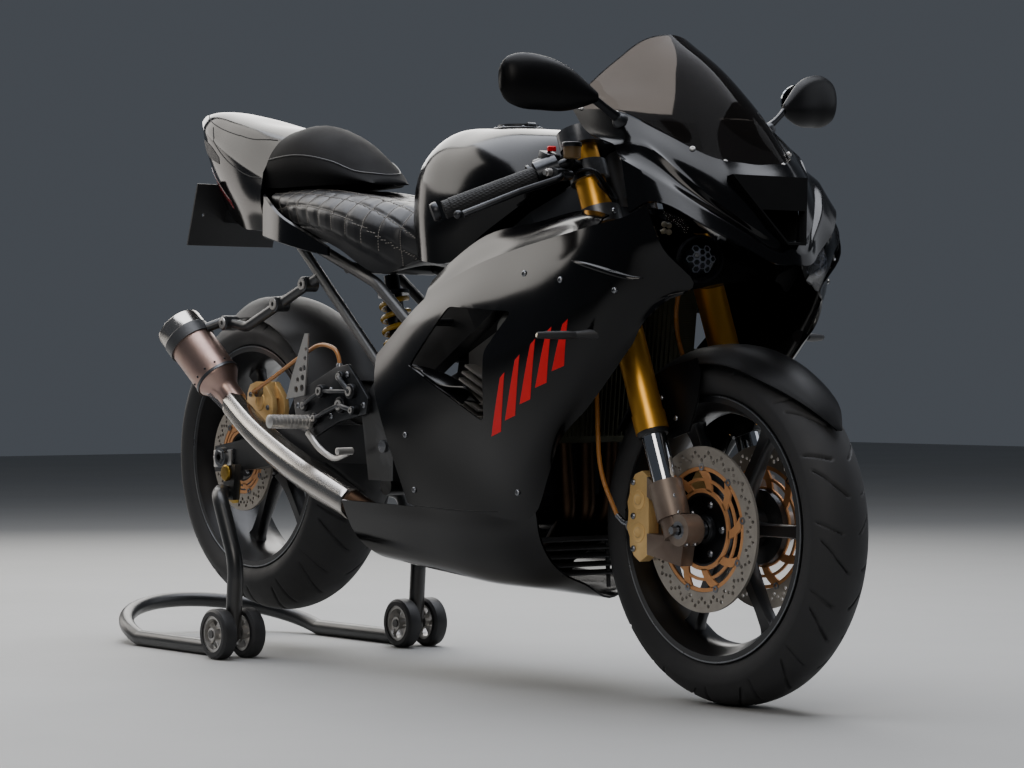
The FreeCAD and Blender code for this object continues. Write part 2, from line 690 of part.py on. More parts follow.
def rear_axle():
    """Axle with its nuts, spacers and chain adjuster blocks."""
    rod = cylinder(REAR_AXLE + vec(0, -148, 0), REAR_AXLE + vec(0, 148, 0), AXLE_R)
    blocks = []
    for side in (1, -1):
        y0 = side * 138.3
        y1 = side * 142.0
        outline = [(-1432, 370), (-1366, 374), (-1366, 410), (-1432, 408)]
        blocks.append(plate_xz(outline, min(y0, y1), max(y0, y1)))
        blocks.append(cylinder(REAR_AXLE + vec(0, y1, 0), REAR_AXLE + vec(0, side * 154, 0), 20))
        blocks.append(cylinder(REAR_AXLE + vec(0, side * (REAR_HUB_HALF + SEAT_GAP), 0), REAR_AXLE + vec(0, side * 113.7, 0), 16))
    return fuse([rod] + blocks)


def engine_block():
    """Crankcase and leaning cylinders as one plain block with its round covers."""
    case = plate_xz([(-745, 305), (-450, 290), (-400, 345), (-430, 470), (-745, 480)], -116, 86)
    left = plate_xz([(-712, 303), (-450, 290), (-400, 345), (-430, 470), (-712, 480)], 86, 116)
    cylinders = plate_xz([(-680, 470), (-450, 440), (-405, 600), (-470, 700), (-640, 640)], -98, 98)
    mounts = cylinder(vec(-640, -124.4, 600), vec(-640, 124.4, 600), 16)
    cover_r = Part.makeCylinder(78, 56, vec(-590, -170, 390), vec(0, 1, 0))
    cover_l = Part.makeCylinder(62, 56, vec(-490, 114, 382), vec(0, 1, 0))
    return fuse([case, left, cylinders, mounts, cover_r, cover_l])


RADIATOR_THICK = 22.0


def radiator():
    """Curved core in front of the engine."""
    rows = []
    for z, front in ((440, -324), (590, -310), (740, -292)):
        rows.append([vec(front + abs(y) * 0.08, y, z) for y in (-165, -80, 0, 80, 165)])
    pieces = [panel(rows, -RADIATOR_THICK)]
    for side in (1, -1):
        pieces.append(cylinder(vec(-298, side * 92, 730), vec(-350, side * 92, 765), 7))
        pieces.append(cylinder(vec(-318, side * 150, 600), vec(-318, side * 246, 600), 7))
    return fuse(pieces)


SHOCK_LOW = vec(-954, 0, 468)
SHOCK_HIGH = vec(-1013, 0, 767)
COIL_R = 26.0
COIL_WIRE_R = 5.0
COIL_TURNS = 7
PERCH_THICK = 7.0


def rear_shock():
    """Coil spring between two perches on the damper."""
    axis = (SHOCK_HIGH - SHOCK_LOW).normalize()
    coil_low = SHOCK_LOW + axis * 60
    coil_high = SHOCK_HIGH - axis * 48
    length = (coil_high - coil_low).Length
    helix = Part.makeHelix(length / COIL_TURNS, length, COIL_R)
    wire = Part.Wire(Part.makeCircle(COIL_WIRE_R, vec(COIL_R, 0, 0), vec(0, 1, 0)))
    coil = Part.Wire(helix.Edges).makePipeShell([wire], True, True)
    coil.Placement = FreeCAD.Placement(coil_low, FreeCAD.Rotation(vec(0, 0, 1), axis))
    perches = [cylinder(coil_low - axis * PERCH_THICK, coil_low + axis, COIL_R + COIL_WIRE_R),
               cylinder(coil_high - axis, coil_high + axis * PERCH_THICK, COIL_R + COIL_WIRE_R)]
    return fuse([cylinder(SHOCK_LOW, SHOCK_HIGH, 15), coil] + perches)


def hugger():
    """Mudguard over the front of the rear tyre."""
    inner = REAR_TYRE_R + 12
    rows = []
    for degrees in (28, 45, 62, 80, 98):
        angle = math.radians(degrees)
        row = []
        for share in (-1.0, -0.55, 0.0, 0.55, 1.0):
            radius = inner + 4 - (abs(share) ** 2) * 46
            row.append(REAR_AXLE + vec(radius * math.cos(angle), share * 98, radius * math.sin(angle)))
        rows.append(row)
    pieces = [panel(rows, -3.5)]
    for side in (1, -1):
        low, high = sorted((side * 110, side * 114))
        pieces.append(plate_xz([(-1165, 450), (-1132, 450), (-1126, 534), (-1160, 534)], low, high))
        low, high = sorted((side * 93, side * 114))
        pieces.append(plate_xz([(-1159, 526), (-1127, 526), (-1126, 534), (-1160, 534)], low, high))
    return fuse(pieces)


def subframe():
    """Rails that carry the seat and tail."""
    pieces = []
    for side in (1, -1):
        pieces.append(bent_tube([vec(-760, side * 118, 640), vec(-900, side * 112, 735),
                                 vec(-1200, side * 84, 832), vec(-1282.4, side * 76, 862)], [120, 200], 11))
        pieces.append(cylinder(vec(-850, side * 124, 560), vec(-1250, side * 80, 850), 10))
    pieces.append(cylinder(vec(-1200, -88, 832), vec(-1200, 88, 832), 9))
    pieces.append(cylinder(vec(-1013, -103, 767), vec(-1013, 103, 767), 11))
    return fuse(pieces)


# Exhaust

HEADER_END = vec(-914.0, -165.0, 319.0)
HEADER_R = 25.0


def exhaust_header():
    """Four pipes that run down from the engine into a collector."""
    pieces = []
    for y in (-90, -32, 32, 90):
        pieces.append(bent_tube([vec(-411.7, y, 575), vec(-366, y, 562), vec(-368, y * 0.75, 310), vec(-500, y * 0.22, 222)],
                                [24, 50], 16))
    pieces.append(cylinder(vec(-480, 0, 222), vec(-590, 0, 222), 36))
    pieces.append(bent_tube([vec(-570, 0, 222), vec(-740, -30, 228), vec(-850, -122, 276), HEADER_END],
                            [130, 100], HEADER_R))
    return fuse(pieces)


LINK_ROWS = (
    # x, y, z of the pipe's middle and its half width and half height
    (-906.0, -161.0, 314.0, 29.0, 29.0),
    (-1060.0, -172.0, 372.0, 32.0, 31.0),
    (-1230.0, -170.0, 446.0, 30.0, 29.0),
    (-1330.0, -163.0, 500.0, 27.0, 27.0),
)


def link_pipe():
    """Bevelled pipe from the belly pan up to the silencer."""
    sections = []
    for x, y, z, wide, high in LINK_ROWS:
        ring = []
        for s, d in ((-1, -0.45), (-0.45, -1), (0.45, -1), (1, -0.45), (1, 0.45), (0.45, 1), (-0.45, 1), (-1, 0.45)):
            ring.append(vec(x, y + wide * s, z + high * d))
        sections.append(ring)
    pipe = loft(sections)
    header_dir = (HEADER_END - vec(-850, -122, 276)).normalize()
    pipe = pipe.cut(cylinder(HEADER_END - header_dir * 60, HEADER_END + header_dir, HEADER_R + SEAT_GAP))
    axis = vec(SILENCER_AXIS.x, SILENCER_AXIS.y, SILENCER_AXIS.z).normalize()
    return pipe.cut(cylinder(SILENCER_START - axis * 27, SILENCER_START + axis * 30, HEADER_R + SEAT_GAP))


SILENCER_START = vec(-1352.0, -160.0, 522.0)
SILENCER_AXIS = vec(-0.66, -0.22, 0.72)


def silencer():
    """Short round silencer with a cone in front and an open tip."""
    axis = vec(SILENCER_AXIS.x, SILENCER_AXIS.y, SILENCER_AXIS.z).normalize()
    a = SILENCER_START
    neck = cylinder(a - axis * 26, a + axis * 12, HEADER_R)
    cone = Part.makeCone(27, 46, 30, a + axis * 10, axis)
    body = cylinder(a + axis * 40, a + axis * 168, 46)
    tip = cylinder(a + axis * 168, a + axis * 192, 48)
    return fuse([neck, cone, body, tip]).cut(cylinder(a + axis * 120, a + axis * 193, 32))


def silencer_bracket():
    """Arm from the subframe to the band round the silencer."""
    axis = vec(SILENCER_AXIS.x, SILENCER_AXIS.y, SILENCER_AXIS.z).normalize()
    mid = SILENCER_START + axis * 148
    band = cylinder(mid - axis * 12, mid + axis * 12, 50).cut(cylinder(mid - axis * 13, mid + axis * 13, 46.3))
    lug = cylinder(vec(-1395, -142, 668), mid + vec(36, 18, 26), 10)
    arm = bent_tube([vec(-1398, -144, 668), vec(-1330, -132, 655), vec(-1120, -96, 752)], [30], 10)
    bracket = fuse([arm, lug, band])
    return bracket.cut(cylinder(mid - axis * 60, mid + axis * 60, 46.3))


# Rider controls

PUMP_TOP = 545.0


def rearset(side):
    """Foot rest plate with its peg, heel guard and pedal."""
    y = side * 150.0
    plate = plate_xz([(-862, 515), (-930, 580), (-1010, 560), (-1120, 520), (-1090, 452), (-1040, 440), (-960, 470),
                      (-868, 486)],
                     min(y, y + side * 8), max(y, y + side * 8))
    guard = plate_xz([(-1075, 520), (-1140, 512), (-1072, 642), (-1062, 640)],
                     min(y + side * 8, y + side * 11), max(y + side * 8, y + side * 11))
    peg = cylinder(vec(-1055, y, 468), vec(-1055, side * 255, 470), 13)
    boss = cylinder(vec(-882, side * 138, 503), vec(-882, y + side * 1, 503), 14)
    pump = cylinder(vec(-985, side * 139, 470), vec(-985, side * 139, PUMP_TOP), 12)
    pedal = bent_tube([vec(-1055, y + side * 16, 448), vec(-960, y + side * 20, 400), vec(-900, y + side * 20, 415),
                       vec(-900, y + side * 52, 415)], [25, 12], 6)
    link = cylinder(vec(-1055, y + side * 4, 448), vec(-1055, y + side * 18, 448), 9)
    return fuse([plate, guard, peg, boss, pump, pedal, link])


def rear_caliper():
    """Caliper over the front top of the rear disc."""
    y = -REAR_DISC_Y
    outline = [(-1262, 470), (-1258, 510), (-1290, 545), (-1340, 540), (-1352, 505), (-1310, 462)]
    gap = DISC_THICK / 2.0 + PAD_GAP
    body = plate_xz(outline, y - 20, y + 20)
    slot = Part.makeCylinder(REAR_DISC_R + PAD_GAP, 2 * gap, REAR_AXLE + vec(0, y - gap, 0), vec(0, 1, 0))
    return body.cut(slot)


def side_stand():
    """Leg folded back along the left side."""
    leg = bent_tube([LEG_PIVOT + vec(0, 152, 0), vec(-1010, 172, 352), vec(-1150, 178, 362)], [200], 11)
    eye = cylinder(LEG_PIVOT + vec(0, LEG_ROOT_Y, 0), LEG_PIVOT + vec(0, LEG_ROOT_Y + 28, 0), 17)
    foot = cylinder(vec(-1144, 162, 354), vec(-1144, 196, 366), 15)
    bore = cylinder(LEG_PIVOT + vec(0, 100, 0), LEG_PIVOT + vec(0, 180, 0), LEG_PIN_R + HUB_CLEAR)
    return fuse([leg, eye, foot]).cut(bore)


# Bodywork

TANK_ROWS = (
    # x, then (y, z) from the top centre to the bottom centre
    (-345.0, ((0, 955), (30, 950), (44, 932), (46, 916), (40, 908), (0, 908))),
    (-385.0, ((0, 982), (66, 972), (112, 926), (128, 896), (112, 882), (0, 880))),
    (-480.0, ((0, 1004), (82, 995), (146, 945), (168, 890), (156, 822), (0, 818))),
    (-600.0, ((0, TANK_TOP_Z), (88, 1004), (150, 958), (172, 880), (160, TANK_BOTTOM), (0, TANK_BOTTOM))),
    (-700.0, ((0, 1014), (80, 1004), (138, 955), (156, 870), (148, 770), (0, 770))),
    (-770.0, ((0, 985), (62, 972), (104, 920), (116, 850), (104, 780), (0, 780))),
    (-800.0, ((0, 915), (40, 905), (70, 870), (78, 835), (66, 790), (0, 790))),
)


def fuel_tank():
    body = loft([mirrored_section(x, half) for x, half in TANK_ROWS])
    ring = cylinder(vec(CAP_X, 0, TANK_TOP_Z - 14), vec(CAP_X, 0, TANK_TOP_Z + 2), CAP_R + 9)
    return fuse([body, ring]).cut(cylinder(vec(CAP_X, 0, TANK_TOP_Z - 30), vec(CAP_X, 0, TANK_TOP_Z + 3), 22))


def fuel_cap():
    """Flush lid hinged at its front edge."""
    low = TANK_TOP_Z + 2 + SEAT_GAP
    lid = cylinder(vec(CAP_X, 0, low), vec(CAP_X, 0, low + 7), CAP_R)
    knuckle = cylinder(vec(CAP_X + CAP_R, -9, low + 5), vec(CAP_X + CAP_R, 9, low + 5), 4.5)
    return fuse([lid, knuckle])


SEAT_ROWS = (
    (-800.3, ((0, 866), (50, 860), (72, 832), (64, 790), (0, 786))),
    (-870.0, ((0, 884), (78, 876), (112, 840), (110, 752), (0, 770))),
    (-1000.0, ((0, 906), (112, 898), (142, 872), (138, 806), (0, 812))),
    (-1130.0, ((0, 922), (116, 915), (142, 896), (136, 852), (0, 852))),
    (-1262.0, ((0, 930), (98, 926), (118, 916), (112, 896), (0, 890))),
)


def rider_seat():
    """Seat with two feet that stand on the rails."""
    body = loft([mirrored_section(x, half) for x, half in SEAT_ROWS])
    feet = [cylinder(vec(-1060, side * 97, 785), vec(-1060, side * 97, 845), 10) for side in (1, -1)]
    return fuse([body] + feet)


PAD_ROWS = (
    (-1012.0, ((0, 938), (30, 936), (44, 933), (30, 931), (0, 931))),
    (-1090.0, ((0, 1000), (58, 980), (84, 950), (80, 932), (0, 932))),
    (-1180.0, ((0, 1048), (74, 1018), (104, 965), (100, 932), (0, 932))),
    (-1250.0, ((0, 1062), (80, 1030), (112, 972), (110, 932), (0, 932))),
    (-1286.7, ((0, 1058), (82, 1026), (114, 972), (112, 934), (0, 934))),
)


def seat_pad():
    """Padded hump in front of the tail."""
    return loft([mirrored_section(x, half) for x, half in PAD_ROWS])


TAIL_ROWS = (
    (-1287.0, ((0, 1056), (84, 1024), (120, 965), (126, 905), (112, 850), (0, 838))),
    (-1400.0, ((0, 1072), (72, 1062), (108, 1000), (110, 930), (92, 858), (0, 850))),
    (-1500.0, ((0, 1096), (60, 1086), (92, 1035), (88, 960), (66, 895), (0, 880))),
    (-1600.0, ((0, 1112), (44, 1104), (66, 1075), (60, 1030), (44, 995), (0, 985))),
    (-1656.0, ((0, 1110), (26, 1106), (36, 1094), (34, 1080), (24, 1070), (0, 1066))),
)


def tail_fairing():
    """Tail shell with the strips that run forward under the seat."""
    body = loft([mirrored_section(x, half) for x, half in TAIL_ROWS])
    strips = []
    for side in (1, -1):
        rows = []
        for x, y, z, high in ((-1290, 124, 876, 44), (-1180, 149, 846, 28), (-1010, 150, 797, 12)):
            rows.append([vec(x, side * (y - 5), z - high), vec(x, side * y, z - high),
                         vec(x, side * y, z + high), vec(x, side * (y - 5), z + high)])
        strips.append(loft(rows))
    return fuse([body] + strips).cut(tail_light())


def tail_light():
    """Lamp across the lower rear edge of the tail."""
    rows = []
    for y, shift in ((-58, 30), (-30, 6), (0, 0), (30, 6), (58, 30)):
        rows.append([vec(-1618 + shift, y, 1008), vec(-1578 + shift, y, 962), vec(-1568 + shift, y, 968),
                     vec(-1606 + shift, y, 1014)])
    return loft(rows)


def plate_bracket():
    """Arm and blank plate behind the tail."""
    arm = loft([[vec(-1470, y, 868), vec(-1500, y, 895), vec(-1588, y, 905), vec(-1590, y, 880)] for y in (-26, 26)])
    plate = loft([[vec(-1606, y, 830), vec(-1602, y, 830), vec(-1560, y, 956), vec(-1564, y, 957)] for y in (-105, 105)])
    lamp = cylinder(vec(-1573, -22, 946), vec(-1573, 22, 946), 7)
    both = fuse([arm, plate, lamp])
    for side in (1, -1):
        hole = cylinder(vec(-1640, side * 80, 893), vec(-1540, side * 80, 893), 3.0)
        both = both.cut(hole)
    return both


NOSE_ROWS = (
    # rows run from the screen's foot down to the lamps, each from the centre to the rear edge: foot of the screen,
    # edge of the mouth, upper ridge, floor of the channel, lower ridge, edge over the lamp
    ((62, 0, 912), (59, 35, 914.5), (56, 70, 917), (-35, 132, 968), (-96, 158, 1000), (-228, 168, 1018)),
    ((104, 0, 864), (100, 38, 866), (84, 80, 876), (-6, 144, 938), (-80, 168, 978), (-172, 182, 976)),
    ((147, 0, 784), (140, 34, 786), (108, 84, 820), (36, 141, 891), (-30, 172, 943), (-88, 190, 948)),
    ((151, 0, 772), (142, 32, 773), (107, 77, 807), (38, 143, 873), (-18, 179, 918), (-74, 194, 932)),
    ((155, 0, 760), (150, 32, 760), (119, 78, 793), (56, 155, 853), (4, 194, 893), (-52, 202, 920)),
    ((158, 0, 742), (152, 36, 742), (131, 76, 764), (94, 144, 806), (24, 208, 845), (-10, 221, 829)),
)


def nose_fairing():
    """Nose cowl between the screen, the lamps and the side panels."""
    grid = []
    for row in NOSE_ROWS:
        right = [vec(x, -y, z) for x, y, z in reversed(row[1:])]
        grid.append(right + [vec(x, y, z) for x, y, z in row])
    shell = panel(grid, PANEL)
    mouth = [vec(60, -76, 884), vec(60, 76, 884), vec(60, 14, 782), vec(60, -14, 782)]
    cut = Part.Face(Part.makePolygon(mouth + mouth[:1])).extrude(vec(160, 0, 0))
    return shell.cut(cut)


DUCT_ROWS = (
    # x at the top and the bottom, half widths at the top and the bottom, z of the top and the bottom
    (94.0, 160.0, 84.0, 20.0, 892.0, 774.0),
    (-20.0, -20.0, 56.0, 16.0, 882.0, 800.0),
    (-150.0, -150.0, 36.0, 16.0, 870.0, 806.0),
)
DUCT_WALL = 4.0


def intake_duct():
    """Duct that leads back from the nose's mouth."""
    layers = []
    for wall in (0.0, DUCT_WALL):
        sections = []
        for x_top, x_low, half_top, half_low, top, low in DUCT_ROWS:
            y_top = half_top - 1.6 * wall
            y_low = half_low - 0.8 * wall
            sections.append([vec(x_top, -y_top, top - wall), vec(x_top, y_top, top - wall),
                             vec(x_low, y_low, low + wall), vec(x_low, -y_low, low + wall)])
        layers.append(loft(sections))
    return layers[0].cut(layers[1])


LAMP_ROWS = (
    # rows run from the upper edge to the lower edge, each from the tip at the centre to the rear corner
    ((144, 36, 737), (124, 88, 764), (82, 153, 807), (31, 201, 836)),
    ((150, 38, 727), (126, 92, 741), (84, 153, 758), (47, 203, 804)),
    ((143, 38, 717), (108, 82, 713), (68, 136, 703), (57, 192, 770)),
)


def headlight(side):
    """Smoked lens with the lamp body behind it."""
    grid = grid_of(LAMP_ROWS, side)
    return panel(grid, 8.0 if side > 0 else -8.0)


SEAM = ((-302, 190, 320), (-463, 208, 316), (-640, 206, 320))
FAIRING_ROWS = (
    # columns run from the top edge to the lower edge, rows from front to rear
    ((22, 210, 838), (52, 200, 768), (62, 143, 704), (36, 172, 688), (-10, 195, 640), (-35, 190, 613)),
    ((-10, 222, 824), (-20, 230, 770), (-30, 234, 700), (-60, 230, 640), (-110, 215, 560), (-150, 195, 505)),
    ((-80, 232, 811), (-90, 242, 750), (-100, 245, 680), (-130, 240, 600), (-180, 222, 500), (-226, 196, 446)),
    ((-200, 226, 795), (-200, 245, 722), (-205, 250, 640), (-215, 243, 555), (-240, 225, 450), (-262, 194, 383)),
    ((-330, 216, 777), (-330, 238, 700), (-330, 246, 620), (-325, 240, 520), (-318, 220, 400), SEAM[0]),
    ((-463, 206, 752), (-463, 228, 685), (-463, 236, 600), (-463, 230, 500), (-463, 216, 400), SEAM[1]),
    ((-627, 196, 697), (-627, 214, 640), (-627, 222, 570), (-627, 218, 490), (-627, 212, 400), SEAM[2]),
    ((-787, 190, 597), (-780, 200, 560), (-765, 208, 520), (-745, 210, 480), (-717, 208, 422), (-665, 206, 326)),
)
VENT_OUTLINE = ((-517, 682), (-300, 669), (-385, 600), (-398, 476), (-640, 576))
FIN_ROWS = (
    # upper and lower edge of the blade across the vent, from its root at the rear
    ((-678, 215, 585), (-674, 214, 573)),
    ((-600, 221, 567), (-594, 204, 545)),
    ((-544, 222, 545), (-534, 196, 520)),
    ((-466, 219, 539), (-460, 190, 510)),
)
LEDGE_ROWS = (
    # from inside the panel's upper edge in towards the tank, rows from front to rear
    ((-80, 230, 809), (-86, 214, 823), (-92, 196, 829)),
    ((-140, 229, 802), (-144, 204, 827), (-148, 178, 838)),
    ((-200, 224, 793), (-202, 196, 826), (-204, 164, 842)),
    ((-330, 214, 775), (-332, 186, 810), (-336, 156, 828)),
    ((-463, 204, 750), (-465, 188, 784), (-468, 173, 808)),
    ((-560, 199, 718), (-560, 190, 745), (-560, 180, 766)),
    ((-627, 194, 695), (-625, 189, 714), (-622, 180, 732)),
)


def side_fairing(side):
    """Side panel with its large vent, the blade across it and the ledge beside the tank."""
    inward = -side
    shell = panel(grid_of(FAIRING_ROWS, side), PANEL * inward)
    low, high = sorted((side * 150, side * 300))
    shell = shell.cut(plate_xz(VENT_OUTLINE, low, high))
    fin = panel(grid_of(FIN_ROWS, side), FIN_THICK * inward)
    ledge = panel(grid_of(LEDGE_ROWS, side), -FIN_THICK * inward)
    return fuse([shell, fin, ledge])


BELLY_ROWS = (
    # columns run from the seam with the side panel down to the keel, rows from front to rear
    (SEAM[0], (-306, 178, 275), (-312, 150, 235), (-322, 105, 205), (-327, 60, 188), (-333, 0, 162)),
    ((-380, 199, 318), (-380, 194, 270), (-380, 168, 224), (-380, 122, 192), (-382, 60, 176), (-385, 0, 165)),
    (SEAM[1], (-470, 202, 270), (-475, 178, 222), (-480, 132, 188), (-485, 60, 176), (-490, 0, 172)),
    (SEAM[2], (-645, 203, 286), (-650, 182, 236), (-655, 138, 202), (-660, 60, 190), (-660, 0, 186)),
    ((-885, 202, 324), (-880, 196, 300), (-866, 178, 254), (-850, 140, 220), (-835, 60, 206), (-830, 0, 204)),
)


GRILLE_SLATS = 5
GRILLE_LOW = 208.0
GRILLE_STEP = 15.0
SLAT_THICK = 3.0


def belly_pan():
    """Pan under the engine, one sheet from side to side, with the slats across its front."""
    grid = []
    for row in BELLY_ROWS:
        lowered = [(x, y, z - SEAT_GAP) for x, y, z in row]
        left = [vec(x, y, z) for x, y, z in lowered]
        right = [vec(x, -y, z) for x, y, z in reversed(lowered[:-1])]
        grid.append(left + right)
    pan = panel(grid, -PANEL)
    slats = []
    for k in range(GRILLE_SLATS):
        z = GRILLE_LOW + k * GRILLE_STEP
        slat = plate_xz([(-326 - k, z), (-327 - k, z - SLAT_THICK), (-345 - k, z + 6), (-344 - k, z + 6 + SLAT_THICK)],
                        -205, 205)
        slats.append(trimmed(slat, [pan]))
    bar = cylinder(vec(-335, 0, GRILLE_LOW - 30), vec(-341, 0, GRILLE_LOW + (GRILLE_SLATS - 1) * GRILLE_STEP + 4), 4)
    return fuse([pan, trimmed(bar, [pan])] + slats)


SCREEN_ROWS = (
    ((60, 0, 911), (54, 66, 916), (-36, 126, 969), (-98, 150, 1002), (-224, 158, 1019)),
    ((8, 0, 1004), (-6, 62, 1002), (-72, 116, 1018), (-128, 142, 1030), (-216, 152, 1036)),
    ((-74, 0, 1090), (-88, 58, 1082), (-130, 106, 1062), (-168, 132, 1056), (-214, 146, 1050)),
    ((-162, 0, 1150), (-172, 52, 1140), (-192, 98, 1104), (-204, 124, 1080), (-214, 140, 1062)),
)


def windscreen():
    """Tinted double-bubble screen."""
    grid = []
    for row in SCREEN_ROWS:
        right = [vec(x, -y, z) for x, y, z in reversed(row[1:])]
        grid.append(right + [vec(x, y, z) for x, y, z in row])
    return panel(grid, -3.0)


def mirror(side):
    """Mirror head on its stalk."""
    sections = []
    for y, x, z, high, deep in ((212, -108, 1027, 9, 8), (250, -122, 1036, 34, 20), (305, -140, 1048, 46, 26),
                                (355, -152, 1052, 45, 24), (376, -157, 1053, 26, 14)):
        ring = []
        for s, d in ((-0.4, -1), (0.4, -1), (1, -0.45), (1, 0.45), (0.4, 1), (-0.4, 1), (-1, 0.45), (-1, -0.45)):
            ring.append(vec(x + deep * s, side * y, z + high * d))
        sections.append(ring)
    head = loft(sections)
    stalk = cylinder(vec(-100, side * 172, 993), vec(-112, side * 222, 1029), 8)
    foot = cylinder(vec(-99, side * 162, 986), vec(-97, side * 175, 993), 12)
    return fuse([head, stalk, foot])


def indicators():
    """Slim lamps on stalks at the side panels."""
    pods = []
    for side in (1, -1):
        stalk = cylinder(vec(-88, side * 232, 628), vec(-104, side * 266, 627), 6)
        pod = loft([[vec(-100 - y * 0.45 + a, side * (262 + y), 626 + b) for a, b in ((-9, -6), (9, -6), (9, 6), (-9, 6))]
                    for y in (0, 62)])
        pods.append(fuse([stalk, pod]))
    return Part.makeCompound(pods)


def instrument():
    """Display behind the screen, carried by its stay."""
    return loft([[vec(-166, y, 937), vec(-146, y, 948), vec(-168, y, 1000), vec(-184, y, 992)] for y in (-60, 60)])


# Paddock stand

def stand_frame():
    """Two uprights with their hooks and the handle that lies on the floor."""
    r = STAND_TUBE_R
    pieces = []
    for side in (1, -1):
        y = side * STAND_HALF
        pieces.append(bent_tube([SPOOL + vec(-5, side * 178, -38), vec(-1290, y, 320), vec(-1228, y, 190),
                                 vec(STAND_AXLE_X, y, 40)], [34, 120], r))
        pieces.append(cylinder(vec(STAND_AXLE_X, y, 46), vec(-1330, y, r), r))
        pieces.append(cylinder(vec(-1322, y, r), vec(HANDLE_END_X, y, r), r))
        pieces.append(cylinder(vec(STAND_AXLE_X, y - side * 52, 50), vec(STAND_AXLE_X, y + side * 52, 50), 8))
        low, high = sorted((side * 149, side * 163))
        blob = plate_xz([(-1366, 308), (-1332, 308), (-1324, 380), (-1372, 376)], low, high)
        saddle = cylinder(SPOOL + vec(0, low, 0), SPOOL + vec(0, high, 0), SPOOL_R + SEAT_GAP)
        width = SPOOL_R + SEAT_GAP
        mouth = plate_xz([(SPOOL.x - width, SPOOL.z), (SPOOL.x + width, SPOOL.z), (SPOOL.x + width, 400),
                          (SPOOL.x - width, 400)], low, high)
        pieces.append(blob.cut(saddle).cut(mouth))
        pieces.append(cylinder(SPOOL + vec(-5, side * 180, -38), SPOOL + vec(-5, side * 152, -38), 13))
    centre = vec(HANDLE_END_X, 0, r)
    tilt = HANDLE_TILT
    start = vec(HANDLE_END_X, STAND_HALF, r)
    middle = centre + vec(-STAND_HALF * math.cos(tilt), 0, STAND_HALF * math.sin(tilt))
    arc = Part.Wire(Part.Arc(start, middle, vec(HANDLE_END_X, -STAND_HALF, r)).toShape())
    ring = Part.Wire(Part.makeCircle(r, start, vec(-math.cos(tilt), 0, math.sin(tilt))))
    pieces.append(arc.makePipeShell([ring], True, False))
    for side in (1, -1):
        pieces.append(Part.makeSphere(r, vec(HANDLE_END_X, side * STAND_HALF, r)))
        pieces.append(Part.makeSphere(r, vec(-1322, side * STAND_HALF, r)))
    return fuse(pieces)


def stand_wheels(side):
    """A pair of stand wheels."""
    wheels = []
    for offset in (-1, 1):
        y0 = side * STAND_HALF + offset * (STAND_WHEEL_GAP / 2.0 + STAND_WHEEL_W / 2.0)
        low = vec(STAND_AXLE_X, y0 - STAND_WHEEL_W / 2.0, STAND_WHEEL_R)
        high = vec(STAND_AXLE_X, y0 + STAND_WHEEL_W / 2.0, STAND_WHEEL_R)
        wheels.append(tube(low, high, STAND_WHEEL_R, 8 + HUB_CLEAR))
    return Part.makeCompound(wheels)


# Brake hoses

def front_hoses():
    """Hose from each caliper up behind the fork leg."""
    hoses = []
    for side in (1, -1):
        y = side * 112
        under = stem_point(LOWER_CLAMP_T - SEAT_GAP) + FORK_FORWARD * 14 + vec(0, side * 62, 0)
        route = [vec(-166.5, side * 84, 300), vec(-192, side * 92, 308), vec(-222, y, 390), vec(-228, y, 480),
                 vec(-240, side * 104, 560), vec(-250, side * 80, 650), under - FORK_UP * 59.2, under]
        hoses.append(bent_tube(route, hose_bends("front_hoses", route), 4))
    return Part.makeCompound(hoses)


def rear_hose():
    """Hose from the rear caliper over the arm to the foot control."""
    route = [vec(-1300, -117.3, 524), vec(-1300, -138, 524), vec(-1230, -142, 548), vec(-1130, -139, 592),
             vec(-1050, -139, 622), vec(-985, -139, 606), vec(-985, -139, PUMP_TOP + SEAT_GAP)]
    return bent_tube(route, hose_bends("rear_hose", route), 4)


